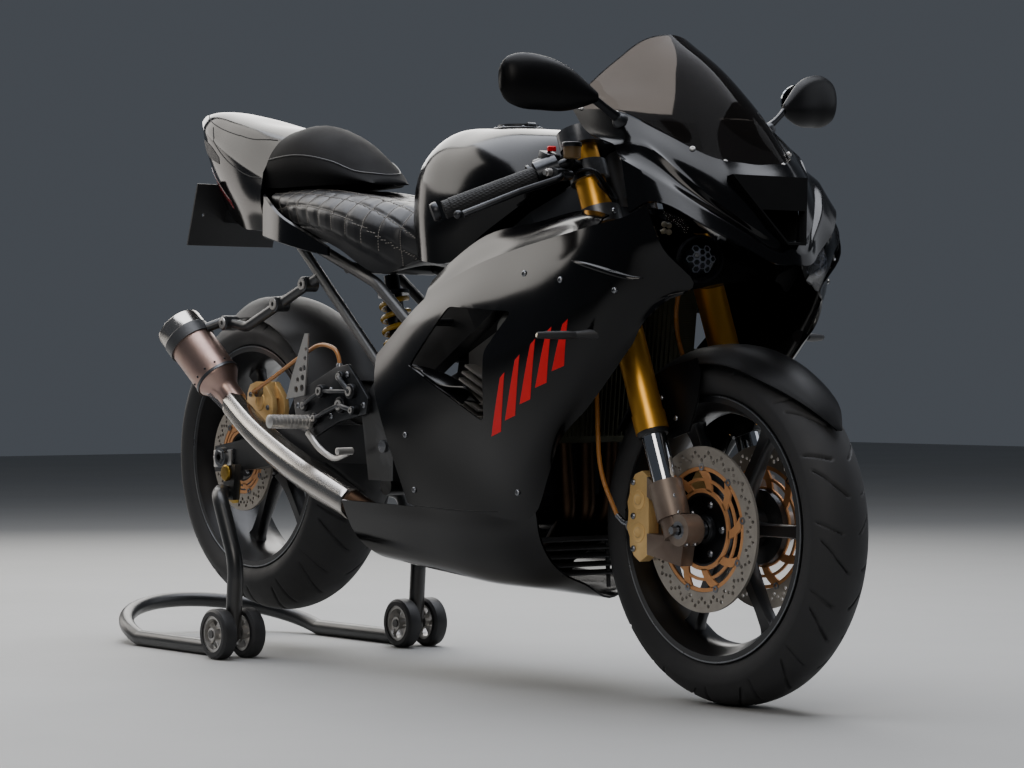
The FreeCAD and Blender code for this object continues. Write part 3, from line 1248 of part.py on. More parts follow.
def build():
    parts = {}
    parts.update(front_wheel_parts())
    parts.update(rear_wheel_parts())
    parts.update(chain_drive())
    parts.update(fork_parts())
    parts.update(handlebar_parts())
    parts["front_axle"] = front_axle()
    parts["triple_clamps"] = triple_clamps()
    parts["front_calipers"] = Part.makeCompound([caliper(1), caliper(-1)])
    parts["front_mudguard"] = trimmed(front_mudguard(), [parts["fork_outers"]])
    parts["front_hoses"] = front_hoses()
    parts["side_fairing_left"] = side_fairing(1)
    parts["side_fairing_right"] = side_fairing(-1)
    fairings = Part.makeCompound([parts["side_fairing_left"], parts["side_fairing_right"]])
    parts["belly_pan"] = belly_pan()
    parts["nose_fairing"] = nose_fairing()
    parts["intake_duct"] = trimmed(intake_duct(), [parts["nose_fairing"]])
    parts["headlights"] = Part.makeCompound([headlight(1), headlight(-1)])
    parts["windscreen"] = windscreen()
    mirrors = Part.makeCompound([mirror(1), mirror(-1)])
    parts["mirrors"] = trimmed(mirrors, [parts["nose_fairing"], parts["windscreen"]])
    parts["indicators"] = trimmed(indicators(), [fairings])
    parts["instrument"] = instrument()
    parts["main_frame"] = trimmed(main_frame(), [fairings])
    parts["swingarm"] = swingarm()
    parts["pivot_bolt"] = pivot_bolt()
    parts["rear_axle"] = rear_axle()
    parts["engine_block"] = engine_block()
    parts["fairing_stay"] = trimmed(fairing_stay(), [parts["main_frame"], fairings, parts["headlights"], parts["nose_fairing"]])
    parts["radiator"] = trimmed(radiator(), [fairings, parts["main_frame"]])
    parts["subframe"] = trimmed(subframe(), [parts["main_frame"]])
    parts["rear_shock"] = trimmed(rear_shock(), [parts["swingarm"], parts["subframe"]])
    parts["rear_hugger"] = trimmed(hugger(), [parts["swingarm"]])
    parts["exhaust_header"] = exhaust_header()
    parts["link_pipe"] = link_pipe()
    parts["silencer"] = silencer()
    parts["silencer_bracket"] = trimmed(silencer_bracket(), [parts["subframe"]])
    parts["rear_caliper"] = rear_caliper()
    parts["rear_hose"] = rear_hose()
    parts["rearsets"] = trimmed(Part.makeCompound([rearset(1), rearset(-1)]), [parts["main_frame"]])
    parts["side_stand"] = side_stand()
    parts["fuel_tank"] = fuel_tank()
    parts["fuel_cap"] = fuel_cap()
    parts["rider_seat"] = trimmed(rider_seat(), [parts["subframe"]])
    parts["seat_pad"] = seat_pad()
    parts["tail_fairing"] = tail_fairing()
    parts["tail_light"] = tail_light()
    parts["plate_bracket"] = trimmed(plate_bracket(), [parts["tail_fairing"]])
    parts["stand_frame"] = stand_frame()
    parts["stand_wheels_left"] = stand_wheels(1)
    parts["stand_wheels_right"] = stand_wheels(-1)
    return parts


os.makedirs("parts", exist_ok=True)
for name, shape in build().items():
    placed = shape.copy()
    placed.translate(vec(-ORIGIN_X, 0, 0))
    placed.exportStep("parts/" + name + ".step")
    box = placed.BoundBox
    print(name, len(placed.Solids), "valid" if placed.isValid() else "INVALID", round(placed.Volume / 1000.0, 1),
          [round(v) for v in (box.XMin, box.XMax, box.YMin, box.YMax, box.ZMin, box.ZMax)])
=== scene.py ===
"""Visual model of a faired sport bike on its paddock stand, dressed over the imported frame."""

import logging
from dataclasses import dataclass, replace
from enum import Enum
from math import asin, atan2, copysign, cos, exp, floor, hypot, pi, radians, sin, sqrt, tau

import bmesh
import bpy
from mathutils import Matrix, Vector


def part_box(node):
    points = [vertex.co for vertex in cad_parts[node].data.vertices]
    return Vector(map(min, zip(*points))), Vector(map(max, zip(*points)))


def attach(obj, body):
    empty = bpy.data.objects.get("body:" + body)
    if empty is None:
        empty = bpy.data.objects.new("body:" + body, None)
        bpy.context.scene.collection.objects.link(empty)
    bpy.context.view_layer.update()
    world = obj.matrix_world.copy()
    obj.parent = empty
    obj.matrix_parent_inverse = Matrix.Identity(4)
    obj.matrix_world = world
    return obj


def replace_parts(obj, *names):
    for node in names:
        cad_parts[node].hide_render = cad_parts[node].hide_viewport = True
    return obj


LOG = logging.getLogger("sport_bike")
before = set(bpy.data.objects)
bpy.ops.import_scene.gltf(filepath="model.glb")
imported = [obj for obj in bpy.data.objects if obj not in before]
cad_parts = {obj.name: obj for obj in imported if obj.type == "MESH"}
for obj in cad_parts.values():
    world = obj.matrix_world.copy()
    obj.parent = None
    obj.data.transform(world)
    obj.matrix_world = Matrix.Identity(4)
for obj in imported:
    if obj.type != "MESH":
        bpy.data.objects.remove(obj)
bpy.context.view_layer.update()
MM = 0.001
Object, Tree, Socket = bpy.types.Object, bpy.types.NodeTree, bpy.types.NodeSocket
Place = tuple[float, float, float]
Colour = tuple[float, float, float, float]
Outline = list[tuple[float, float]]
Line = list[Vector]
Grid = list[Line]


def middle_of(node: str) -> Vector:
    """Middle of a CAD node's box."""
    low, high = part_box(node)
    return (low + high) / 2.0


FRONT_AXLE = middle_of("front_rim")
REAR_AXLE = middle_of("rear_rim")
FORK_LEAN = radians(21.3)
FORK_UP = Vector((-sin(FORK_LEAN), 0.0, cos(FORK_LEAN)))
FORK_FORWARD = Vector((cos(FORK_LEAN), 0.0, sin(FORK_LEAN)))
AXLE_OFFSET = 22.0
FORK_HALF = 105.0
FRONT_DISC_Y = 68.0
REAR_DISC_Y = 97.0
FRONT_TYRE_R = 300.0
REAR_TYRE_R = 315.0
RIM_R = 226.0
# The sides of the bike, by the sign of y.
SIDES = {1: "left", -1: "right"}
Y_AXIS = Vector((0.0, 1.0, 0.0))
Z_AXIS = Vector((0.0, 0.0, 1.0))


def at(x: float, y: float, z: float) -> Vector:
    """Row-frame point in metres from millimetres measured from the floor under the front axle."""
    return Vector((FRONT_AXLE.x + x * MM, y * MM, z * MM))


def mm(x: float, y: float, z: float) -> Vector:
    """Shift in metres from millimetres."""
    return Vector((x * MM, y * MM, z * MM))


def around(turn: float, reach: float) -> Vector:
    """Shift in a wheel's plane, by millimetres at an angle in radians."""
    return Vector((cos(turn), 0.0, sin(turn))) * (reach * MM)


def spaced(count: int, start: float = 0.0) -> list[float]:
    """Angles that divide a full turn evenly, from a share of the first division."""
    return [tau * (k + start) / count for k in range(count)]


def placed(rows: tuple, side: int = 1) -> Grid:
    """Rows of (x, y, z) as points on one side of the bike."""
    return [[at(x, side * y, z) for x, y, z in row] for row in rows]


def fork_point(t: float, side: int, ahead: float = 0.0) -> Vector:
    """Point t millimetres up a fork leg, moved ahead of its centre line."""
    along = FORK_UP * (t * MM) + FORK_FORWARD * ((ahead - AXLE_OFFSET) * MM)
    return FRONT_AXLE + along + mm(0, side * FORK_HALF, 0)


# Finishes

def linear(code: str) -> Colour:
    """Linear colour from an sRGB hex code."""
    values = [int(code[i:i + 2], 16) / 255.0 for i in (1, 3, 5)]
    red, green, blue = (v / 12.92 if v <= 0.04045 else ((v + 0.055) / 1.055) ** 2.4 for v in values)
    return red, green, blue, 1.0


def add_node(tree: Tree, kind: str, settings: dict | None = None,
        inputs: dict | None = None) -> bpy.types.Node:
    """Adds a shader node.

    Args:
        tree: node tree that the node joins.
        kind: type name of the node, without its ShaderNode prefix.
        settings: attributes to set on it.
        inputs: socket name or number to a plain value, or to a socket that is linked to it.

    Returns:
        The new node.
    """
    node = tree.nodes.new("ShaderNode" + kind)
    for key, value in (settings or {}).items():
        setattr(node, key, value)
    for key, value in (inputs or {}).items():
        if isinstance(value, Socket):
            tree.links.new(value, node.inputs[key])
        else:
            node.inputs[key].default_value = value
    return node


class Grain(Enum):
    """What a surface looks like close up."""

    NOISE = "uneven skin"
    CELLS = "pebbled skin"
    LINES = "parallel lines"
    CROSS = "crossing lines"
    RINGS = "turned rings"


@dataclass(frozen=True)
class Finish:
    """A real material with the way its surface was made."""

    name: str
    slot: str
    colour: str
    second: str
    roughness: float
    spread: float = 0.05
    metallic: float = 0.0
    ior: float = 1.5
    coat: float = 0.0
    coat_roughness: float = 0.03
    transmission: float = 0.0
    grain: Grain = Grain.NOISE
    grain_mm: float = 1.0
    depth_mm: float = 0.02
    cloud_mm: float = 60.0
    axis: str = "Z"
    turn: float = 0.0
    wear: str = ""
    centre: Place | None = None

    def _height(self, tree: Tree, place: Socket) -> Socket:
        """Height of the close-up grain at each point."""
        if self.grain is Grain.NOISE:
            return add_node(tree, "TexNoise", inputs={"Vector": place, "Scale": 1.0 / (self.grain_mm * MM),
                "Detail": 2.0}).outputs["Fac"]
        if self.grain is Grain.CELLS:
            return add_node(tree, "TexVoronoi", {"feature": "SMOOTH_F1"},
                {"Vector": place, "Scale": 1.0 / (self.grain_mm * MM)}).outputs["Distance"]
        band = pi / 10.0 / (self.grain_mm * MM)
        if self.grain is Grain.RINGS:
            return add_node(tree, "TexWave", {"wave_type": "RINGS", "rings_direction": self.axis},
                {"Vector": place, "Scale": band, "Distortion": 0.4}).outputs["Fac"]
        turned = add_node(tree, "Mapping", inputs={"Vector": place,
            "Rotation": (0.0, radians(self.turn), 0.0)}).outputs["Vector"]
        ways = (self.axis,) if self.grain is Grain.LINES else (self.axis, "X")
        bands = [add_node(tree, "TexWave", {"bands_direction": way},
            {"Vector": turned, "Scale": band, "Distortion": 0.2}).outputs["Fac"] for way in ways]
        if len(bands) == 1:
            return bands[0]
        return add_node(tree, "Math", {"operation": "MULTIPLY"}, dict(enumerate(bands))).outputs[0]

    def _worn(self, tree: Tree, tone: Socket, cloud: Socket) -> Socket:
        """Colour with the bare material showing along outer edges."""
        edge = add_node(tree, "NewGeometry").outputs["Pointiness"]
        rim = add_node(tree, "MapRange", inputs={"Value": edge, "From Min": 0.53, "From Max": 0.6}).outputs[
            "Result"]
        patchy = add_node(tree, "Math", {"operation": "MULTIPLY"}, {0: rim, 1: cloud}).outputs[0]
        return add_node(tree, "Mix", {"data_type": "RGBA"},
            {0: patchy, 6: tone, 7: linear(self.wear)}).outputs[2]

    def material(self) -> bpy.types.Material:
        """The finish's node material, made once."""
        found = bpy.data.materials.get(self.name)
        if found:
            return found
        made = bpy.data.materials.new(self.name)
        made.use_nodes = True
        tree = made.node_tree
        tree.nodes.clear()
        place = add_node(tree, "TexCoord").outputs["Object"]
        if self.centre:
            place = add_node(tree, "Mapping", {"vector_type": "POINT"},
                {"Vector": place, "Location": [-c for c in self.centre]}).outputs["Vector"]
        cloud = add_node(tree, "TexNoise", inputs={"Vector": place, "Scale": 1.0 / (self.cloud_mm * MM),
            "Detail": 4.0, "Roughness": 0.6}).outputs["Fac"]
        tone = add_node(tree, "Mix", {"data_type": "RGBA"},
            {0: cloud, 6: linear(self.colour), 7: linear(self.second)}).outputs[2]
        if self.wear:
            tone = self._worn(tree, tone, cloud)
        rough = add_node(tree, "MapRange", inputs={"Value": cloud, "From Min": 0.3, "From Max": 0.7,
            "To Min": max(0.01, self.roughness - self.spread),
            "To Max": min(1.0, self.roughness + self.spread)}).outputs["Result"]
        bump = add_node(tree, "Bump", inputs={"Height": self._height(tree, place),
            "Distance": self.depth_mm * MM}).outputs["Normal"]
        constants = {"Metallic": self.metallic, "Coat Weight": self.coat,
            "Coat Roughness": self.coat_roughness, "Transmission Weight": self.transmission}
        if not self.metallic:
            constants["IOR"] = self.ior
        shader = add_node(tree, "BsdfPrincipled", inputs={"Base Color": tone, "Roughness": rough,
            "Normal": bump, **constants})
        add_node(tree, "OutputMaterial", inputs={"Surface": shader.outputs["BSDF"]})
        return made


# Vulcanised rubber: nearly black, dull, a little greyer where it is dusty.
TYRE_RUBBER = Finish("vulcanised_tyre_rubber", "tyre_rubber", "#19191a", "#2a2a2b", 0.66, 0.08, grain_mm=1.5,
    depth_mm=0.06, cloud_mm=35)
# Cast aluminium under satin powder coat: soft highlights with a faint orange peel.
WHEEL_COAT = Finish("powder_coated_cast_wheel", "wheel_black", "#0b0b0d", "#131315", 0.36, 0.06, coat=0.3,
    coat_roughness=0.25, grain_mm=2.5, depth_mm=0.015)
# Bare machined aluminium of the rim's lip: bright fine turned lines.
MACHINED_LIP = Finish("machined_aluminium_lip", "silver_alloy", "#8d8f92", "#76787b", 0.3, metallic=1.0,
    grain=Grain.LINES, grain_mm=0.8, depth_mm=0.01)
# Ground stainless steel: mid grey with rings left by the pads.
FRONT_DISC_STEEL = Finish("ground_stainless_front_disc", "disc_steel", "#b3aba0", "#968f86", 0.38, 0.06, 0.7,
    grain=Grain.RINGS, axis="Y", grain_mm=1.6, depth_mm=0.02, cloud_mm=30, centre=tuple(FRONT_AXLE))
REAR_DISC_STEEL = replace(FRONT_DISC_STEEL, name="ground_stainless_rear_disc", centre=tuple(REAR_AXLE))
# Anodised aluminium, dyed orange gold: coloured metal with a silky sheen.
CARRIER_GOLD = Finish("anodised_gold_carrier", "fork_gold", "#dfa470", "#cc905c", 0.44, 0.05, 0.6, grain_mm=2,
    depth_mm=0.012, cloud_mm=25)
FORK_GOLD = Finish("anodised_gold_fork_tube", "fork_gold", "#eeb04a", "#dba036", 0.36, 0.04, 0.9,
    grain=Grain.LINES, grain_mm=1.2, depth_mm=0.006, cloud_mm=70)
# Painted gold castings: duller and yellower than the tubes, rough cast skin.
CALIPER_GOLD = Finish("painted_gold_caliper_casting", "caliper_gold", "#ecc684", "#d6ac68", 0.42, 0.06, 0.35,
    grain_mm=2.0, depth_mm=0.08, cloud_mm=20, wear="#b9a27a")
# Hard chrome: mirror with a cold cast.
CHROME = Finish("hard_chrome_slider", "slider_chrome", "#c8cace", "#b9bbbf", 0.08, 0.02, 1.0, grain_mm=4,
    depth_mm=0.002)
# Dark bronze paint on the castings at the axle.
BRONZE_CAST = Finish("painted_bronze_casting", "cast_bronze", "#78675b", "#5f5046", 0.42, 0.06, 0.5,
    grain_mm=2.4, depth_mm=0.05, cloud_mm=25, wear="#95877a")
# Lacquered ABS mouldings: deep black under clear coat, slight orange peel.
GLOSS_PANEL = Finish("lacquered_abs_panel", "gloss_black", "#040405", "#070708", 0.13, 0.03, ior=1.35,
    grain_mm=9, depth_mm=0.004, cloud_mm=180)
# The same moulding left without clear coat: soft broad highlights.
SATIN_PANEL = Finish("satin_abs_mudguard", "gloss_black", "#060607", "#0a0a0b", 0.42, 0.05, ior=1.22,
    grain_mm=6, depth_mm=0.006, cloud_mm=120)
# Grained polypropylene: dull black with a fine texture.
MATT_PLASTIC = Finish("grained_polypropylene", "matt_black", "#121214", "#1c1c1e", 0.55, 0.06,
    grain=Grain.CELLS, grain_mm=0.9, depth_mm=0.05)
# Satin mirror shells: a little tighter highlight than the mudguard.
MIRROR_SHELL = Finish("satin_abs_mirror_shell", "gloss_black", "#060607", "#0a0a0b", 0.38, 0.05, ior=1.22,
    grain_mm=5, depth_mm=0.008)
# Powder coat on steel and aluminium: even satin black, bare at a few edges.
FRAME_COAT = Finish("powder_coated_frame_aluminium", "frame_black", "#101113", "#191a1c", 0.4, 0.06, coat=0.2,
    coat_roughness=0.3, grain_mm=2.2, depth_mm=0.03, wear="#4b4c4e")
# Machined aluminium, anodised: black, silver where it is only brushed.
BLACK_ALLOY = Finish("black_anodised_aluminium", "black_alloy", "#161719", "#222326", 0.33, 0.05, 0.8,
    grain_mm=0.7, depth_mm=0.012, cloud_mm=25, wear="#77797c")
SILVER_ALLOY = Finish("brushed_aluminium", "silver_alloy", "#c9c7c3", "#b3b0ac", 0.38, 0.06, 0.8,
    grain=Grain.LINES, grain_mm=2.2, depth_mm=0.008, cloud_mm=25)
# Zinc plate on screws and axles: grey with a cold sheen.
ZINC_STEEL = Finish("zinc_plated_steel", "axle_steel", "#8e9094", "#74767a", 0.3, 0.06, 1.0, grain_mm=0.9,
    depth_mm=0.012, cloud_mm=12)
# Heat-proof paint on sand castings, thin at the edges.
ENGINE_PAINT = Finish("painted_engine_casting", "engine_cast", "#242527", "#303134", 0.5, 0.07, 0.4,
    grain_mm=2.4, depth_mm=0.12, cloud_mm=40, wear="#5d5f62")
# Pressed aluminium fins, olive with age.
RADIATOR_FINS = Finish("pressed_radiator_fins", "radiator_core", "#4b4b3a", "#35362b", 0.5, 0.06, 0.6,
    grain=Grain.CROSS, grain_mm=3.4, depth_mm=0.6)
# Powder-coated spring wire.
SPRING_YELLOW = Finish("powder_coated_spring_steel", "spring_yellow", "#c39a17", "#a57f10", 0.34, 0.05,
    coat=0.4, grain_mm=1.5, depth_mm=0.02)
# Stainless pipes: brown straw tint near the engine, clear brushed steel further back.
HEADER_STEEL = Finish("heat_tinted_stainless", "header_steel", "#4a382b", "#2d231b", 0.42, 0.08, 1.0,
    grain_mm=1.2, depth_mm=0.02, cloud_mm=55)
LINK_STEEL = Finish("satin_stainless_pipe", "titanium", "#cfcac4", "#b9b4ad", 0.22, 0.03, 1.0, grain_mm=12,
    depth_mm=0.01, cloud_mm=70)
# Bead-blasted titanium, blued and browned by heat.
TITANIUM = Finish("bead_blasted_titanium", "titanium", "#c0a594", "#93797a", 0.36, 0.05, 0.95, grain_mm=5,
    depth_mm=0.012, cloud_mm=45)
# Moulded rubber with a diamond pattern.
GRIP_RUBBER = Finish("moulded_diamond_rubber", "grip_rubber", "#151516", "#1f1f20", 0.7, 0.06,
    grain=Grain.CROSS, turn=45, grain_mm=4.0, depth_mm=0.9)
# Split leather, dyed black: pebbled grain, satin where it is sat on.
SEAT_LEATHER = Finish("dyed_seat_leather", "seat_leather", "#101012", "#19191b", 0.4, 0.08, grain=Grain.CELLS,
    grain_mm=1.8, depth_mm=0.12, cloud_mm=70, coat=0.15, coat_roughness=0.35)
# Vinyl pressed over foam: dull, fine pebbles.
PAD_VINYL = Finish("moulded_pad_vinyl", "pad_cover", "#050506", "#080809", 0.62, 0.05, ior=1.18,
    grain=Grain.CELLS, grain_mm=1.8, depth_mm=0.06)
# Waxed thread, grey from wear.
THREAD = Finish("waxed_polyester_thread", "seat_leather", "#8f8b84", "#767069", 0.6, grain=Grain.LINES,
    grain_mm=1.2, depth_mm=0.1)
# Tinted acrylic: dark see-through sheet with a polished face.
SCREEN_ACRYLIC = Finish("smoke_tinted_acrylic", "screen_tint", "#403c3a", "#383533", 0.03, 0.01, ior=1.09,
    transmission=0.9, grain_mm=60, depth_mm=0.002)
# Smoked polycarbonate: clear, with next to no reflection, so that the lamp shows.
LENS_POLYCARBONATE = Finish("smoked_polycarbonate_lens", "smoked_lens", "#9b9da3", "#95979d", 0.02, 0.005,
    ior=1.08, transmission=1.0, grain_mm=60, depth_mm=0.001)
# Moulded red acrylic with prisms inside.
RED_LENS = Finish("red_acrylic_lens", "red_lens", "#8e1016", "#6b0a10", 0.12, 0.03, ior=1.49,
    transmission=0.15, coat=1.0, grain=Grain.CROSS, grain_mm=6, depth_mm=0.5)
# Lamp glass and the etching on the projector.
AMBER_LAMP = Finish("clear_lamp_glass", "smoked_lens", "#d8c9a4", "#b9a47a", 0.12, 0.03, coat=1.0)
LAMP_PATTERN = Finish("etched_projector_glass", "smoked_lens", "#e4e9f0", "#c2c9d2", 0.3, 0.05, coat=0.6)
# Silvered glass.
MIRROR_GLASS = Finish("silvered_glass", "slider_chrome", "#aeb4b8", "#a4aaae", 0.03, 0.01, 1.0, grain_mm=50,
    depth_mm=0.001)
# Steel braid under an orange sleeve: fine crossing threads.
BRAIDED_HOSE = Finish("sleeved_steel_braid", "brake_hose", "#b5782f", "#925c22", 0.3, 0.06, grain=Grain.CROSS,
    turn=45, grain_mm=1.6, depth_mm=0.18, coat=0.5, coat_roughness=0.15)
# Moulded nylon cup: milky brown, the fluid shows through.
FLUID_CUP = Finish("moulded_nylon_cup", "smoked_lens", "#8c7350", "#6f5a3c", 0.3, 0.05, transmission=0.35,
    grain_mm=3, depth_mm=0.01)
# Extruded rubber, worn brass and the oiled steel of the chain drive.
RUBBER_HOSE = Finish("extruded_rubber_hose", "matt_black", "#101011", "#181819", 0.5, 0.05, grain_mm=2,
    depth_mm=0.02)
BRASS = Finish("worn_brass", "silver_alloy", "#a4863c", "#7d6427", 0.36, 0.08, 1.0, grain_mm=1.5,
    depth_mm=0.03, cloud_mm=12)
CHAIN_STEEL = Finish("oiled_chain_steel", "chain_steel", "#54504a", "#38352f", 0.32, 0.08, 1.0, grain_mm=1.2,
    depth_mm=0.02, cloud_mm=8)
SPROCKET_STEEL = Finish("plated_sprocket_steel", "sprocket_steel", "#6f7073", "#585a5d", 0.36, 0.06, 1.0,
    grain_mm=0.9, depth_mm=0.02, cloud_mm=14)
# Powder coat on the stand's tubes, chipped at the edges, and its hard tyres.
STAND_COAT = Finish("powder_coated_stand_steel", "stand_black", "#0f1011", "#18191a", 0.38, 0.07, coat=0.35,
    coat_roughness=0.25, grain_mm=2.6, depth_mm=0.03, wear="#55504a")
STAND_TYRE = Finish("hard_polyurethane_tread", "wheel_nylon", "#19191a", "#242425", 0.5, 0.06, grain_mm=1.4,
    depth_mm=0.04)
# Painted shade inside the air duct and the lamp bowls: raw black plastic made near black and all but
# unreflective, so that these recesses look unlit.
PAINTED_SHADE_PLASTIC = Finish("painted_shade_black_plastic", "matt_black", "#040404", "#060606", 0.92, 0.04, ior=1.15,
    grain_mm=3, depth_mm=0.02)
# Cut vinyl film.
RED_FILM = Finish("red_vinyl_film", "red_lens", "#d8141f", "#c8101a", 0.45, 0.04, ior=1.25, grain_mm=20,
    depth_mm=0.002)
# The dark of a narrow gap between two panels.
SHADOW_GAP = Finish("shut_line_shadow", "matt_black", "#020203", "#030304", 0.8, 0.02)
# Dark glass over a display or a projector.
DISPLAY_GLASS = Finish("display_glass", "smoked_lens", "#0b1114", "#121a1e", 0.06, 0.02, coat=1.0,
    grain_mm=20, depth_mm=0.002)
# Studio floor: pale matt paint.
FLOOR_PAINT = Finish("pale_floor", "", "#a9a9a7", "#9f9f9d", 0.7, 0.05, grain_mm=6, depth_mm=0.05,
    cloud_mm=900)


CARRIED_NODES = {
    FORK_GOLD: ("fork_outers",), CHROME: ("fork_sliders",), BRONZE_CAST: ("fork_bottoms",),
    BLACK_ALLOY: ("clip_ons", "triple_clamps", "side_stand", "fuel_cap"), GRIP_RUBBER: ("grips",),
    ZINC_STEEL: ("front_axle", "pivot_bolt", "rear_axle"), BRAIDED_HOSE: ("front_hoses", "rear_hose"),
    # The intake duct is dressed in painted shade: near-black, nearly unreflective plastic.
    MATT_PLASTIC: ("instrument", "plate_bracket"), PAINTED_SHADE_PLASTIC: ("intake_duct",),
    FRAME_COAT: ("main_frame", "fairing_stay", "swingarm", "subframe", "silencer_bracket"),
    ENGINE_PAINT: ("engine_block",), RADIATOR_FINS: ("radiator",), HEADER_STEEL: ("exhaust_header",),
    STAND_COAT: ("stand_frame",), RED_LENS: ("tail_light",),
}


# Shapes

def slope(before: Vector, after: Vector) -> Vector:
    """Direction of a smooth line where two runs meet, for each unit of length."""
    first, last = before.length, after.length
    if first < 1e-9 or last < 1e-9:
        return (before + after).normalized()
    return (before * (last / first) + after * (first / last)) / (first + last)


def curve(points: Line, steps: int, breaks: tuple[int, ...] = (), closed: bool = False) -> Line:
    """Points on a smooth line through the given ones.

    Args:
        points: points that the line passes through.
        steps: stretches that each run is divided into.
        breaks: numbers of the points where the line has a crisp corner.
        closed: whether the line returns to its first point.

    Returns:
        The points in order.
    """
    count = len(points)
    line = []
    for i in range(count if closed else count - 1):
        j = (i + 1) % count
        a, b = points[i], points[j]
        run = b - a
        start = end = run
        if (i > 0 or closed) and i not in breaks:
            start = slope(a - points[i - 1], run) * run.length
        if (j + 1 < count or closed) and j not in breaks:
            end = slope(run, points[(j + 1) % count] - b) * run.length
        for k in range(steps):
            t = k / steps
            line.append(a * (2 * t ** 3 - 3 * t ** 2 + 1) + start * (t ** 3 - 2 * t ** 2 + t) + b * (
                3 * t ** 2 - 2 * t ** 3) + end * (t ** 3 - t ** 2))
    if not closed:
        line.append(points[-1].copy())
    return line


def smooth_grid(rows: Grid, across: int, along: int, col_breaks: tuple[int, ...] = (),
        row_breaks: tuple[int, ...] = (), closed: bool = False) -> Grid:
    """Dense grid through a coarse one.

    Args:
        rows: coarse rows of points.
        across: stretches between two columns.
        along: stretches between two rows.
        col_breaks: columns that stay crisp.
        row_breaks: rows that stay crisp.
        closed: whether each row is a ring.

    Returns:
        The dense rows.
    """
    wide = [curve(row, across, col_breaks, closed) for row in rows]
    columns = [curve([row[j] for row in wide], along, row_breaks) for j in range(len(wide[0]))]
    return [[column[i] for column in columns] for i in range(len(columns[0]))]


def mirror_row(half: list[Place]) -> Line:
    """Row across the bike from the half that starts on the centre plane."""
    right = [at(x, -y, z) for x, y, z in reversed(half[1:])]
    return right + [at(x, y, z) for x, y, z in half]


def section(x: float, half: Outline) -> Line:
    """Closed ring at x from (y, z) points between the top centre and the bottom centre."""
    left = [at(x, y, z) for y, z in half]
    return left + [at(x, -y, z) for y, z in reversed(half[1:-1])]


def both_ways(half: Outline) -> Outline:
    """Turned profile from its half, repeated on the other side of its middle."""
    return [(-t, r) for t, r in half] + [(t, r) for t, r in reversed(half)]


def rounded(outline: tuple, radius: float, steps: int = 4) -> Outline:
    """Outline with its corners rounded."""
    points = []
    for i, place in enumerate(outline):
        corner = Vector(place)
        before = (Vector(outline[i - 1]) - corner).normalized() * radius
        after = (Vector(outline[(i + 1) % len(outline)]) - corner).normalized() * radius
        for t in (k / steps for k in range(steps + 1)):
            points.append(tuple(corner + before * (1 - t) ** 2 + after * t ** 2))
    return points


def coil(foot: Vector, head: Vector, side: Vector, up: Vector, radius: float, turns: int, steps: int) -> Line:
    """Points of a coil spring.

    Args:
        foot: middle of its first point.
        head: middle of its last point.
        side: direction in which it starts.
        up: direction that it turns towards.
        radius: its radius in millimetres.
        turns: number of its turns.
        steps: points in a turn.

    Returns:
        The points in order.
    """
    return [foot.lerp(head, k / (turns * steps)) + (
        side * cos(tau * k / steps) + up * sin(tau * k / steps)) * (radius * MM) for k in range(
        turns * steps + 1)]


def arc(a: tuple[float, float], b: tuple[float, float], c: tuple[float, float], steps: int) -> list:
    """Flat points on the arc from a through b to c."""
    (ax, ay), (bx, by), (cx, cy) = a, b, c
    d = 2 * (ax * (by - cy) + bx * (cy - ay) + cx * (ay - by))
    ux = ((ax * ax + ay * ay) * (by - cy) + (bx * bx + by * by) * (cy - ay) + (cx * cx + cy * cy) * (
        ay - by)) / d
    uy = ((ax * ax + ay * ay) * (cx - bx) + (bx * bx + by * by) * (ax - cx) + (cx * cx + cy * cy) * (
        bx - ax)) / d
    radius = hypot(ax - ux, ay - uy)
    turns = [atan2(y - uy, x - ux) for x, y in (a, b, c)]
    for i in (1, 2):
        while turns[i] - turns[i - 1] > pi:
            turns[i] -= tau
        while turns[i] - turns[i - 1] < -pi:
            turns[i] += tau
    return [(ux + radius * cos(w), uy + radius * sin(w)) for w in (
        turns[0] + (turns[2] - turns[0]) * k / steps for k in range(steps + 1))]


def add_object(name: str, data: bpy.types.ID) -> Object:
    """New object in the scene."""
    made = bpy.data.objects.new(name, data)
    bpy.context.scene.collection.objects.link(made)
    return made


def bake(obj: Object) -> None:
    """Applies the modifiers of an object."""
    graph = bpy.context.evaluated_depsgraph_get()
    mesh = bpy.data.meshes.new_from_object(obj.evaluated_get(graph))
    obj.modifiers.clear()
    obj.data = mesh


def shade(mesh: bpy.types.Mesh, angle: float) -> None:
    """Smooth shading with crisp edges above an angle in degrees."""
    for polygon in mesh.polygons:
        polygon.use_smooth = True
    mesh.set_sharp_from_angle(angle=radians(angle))


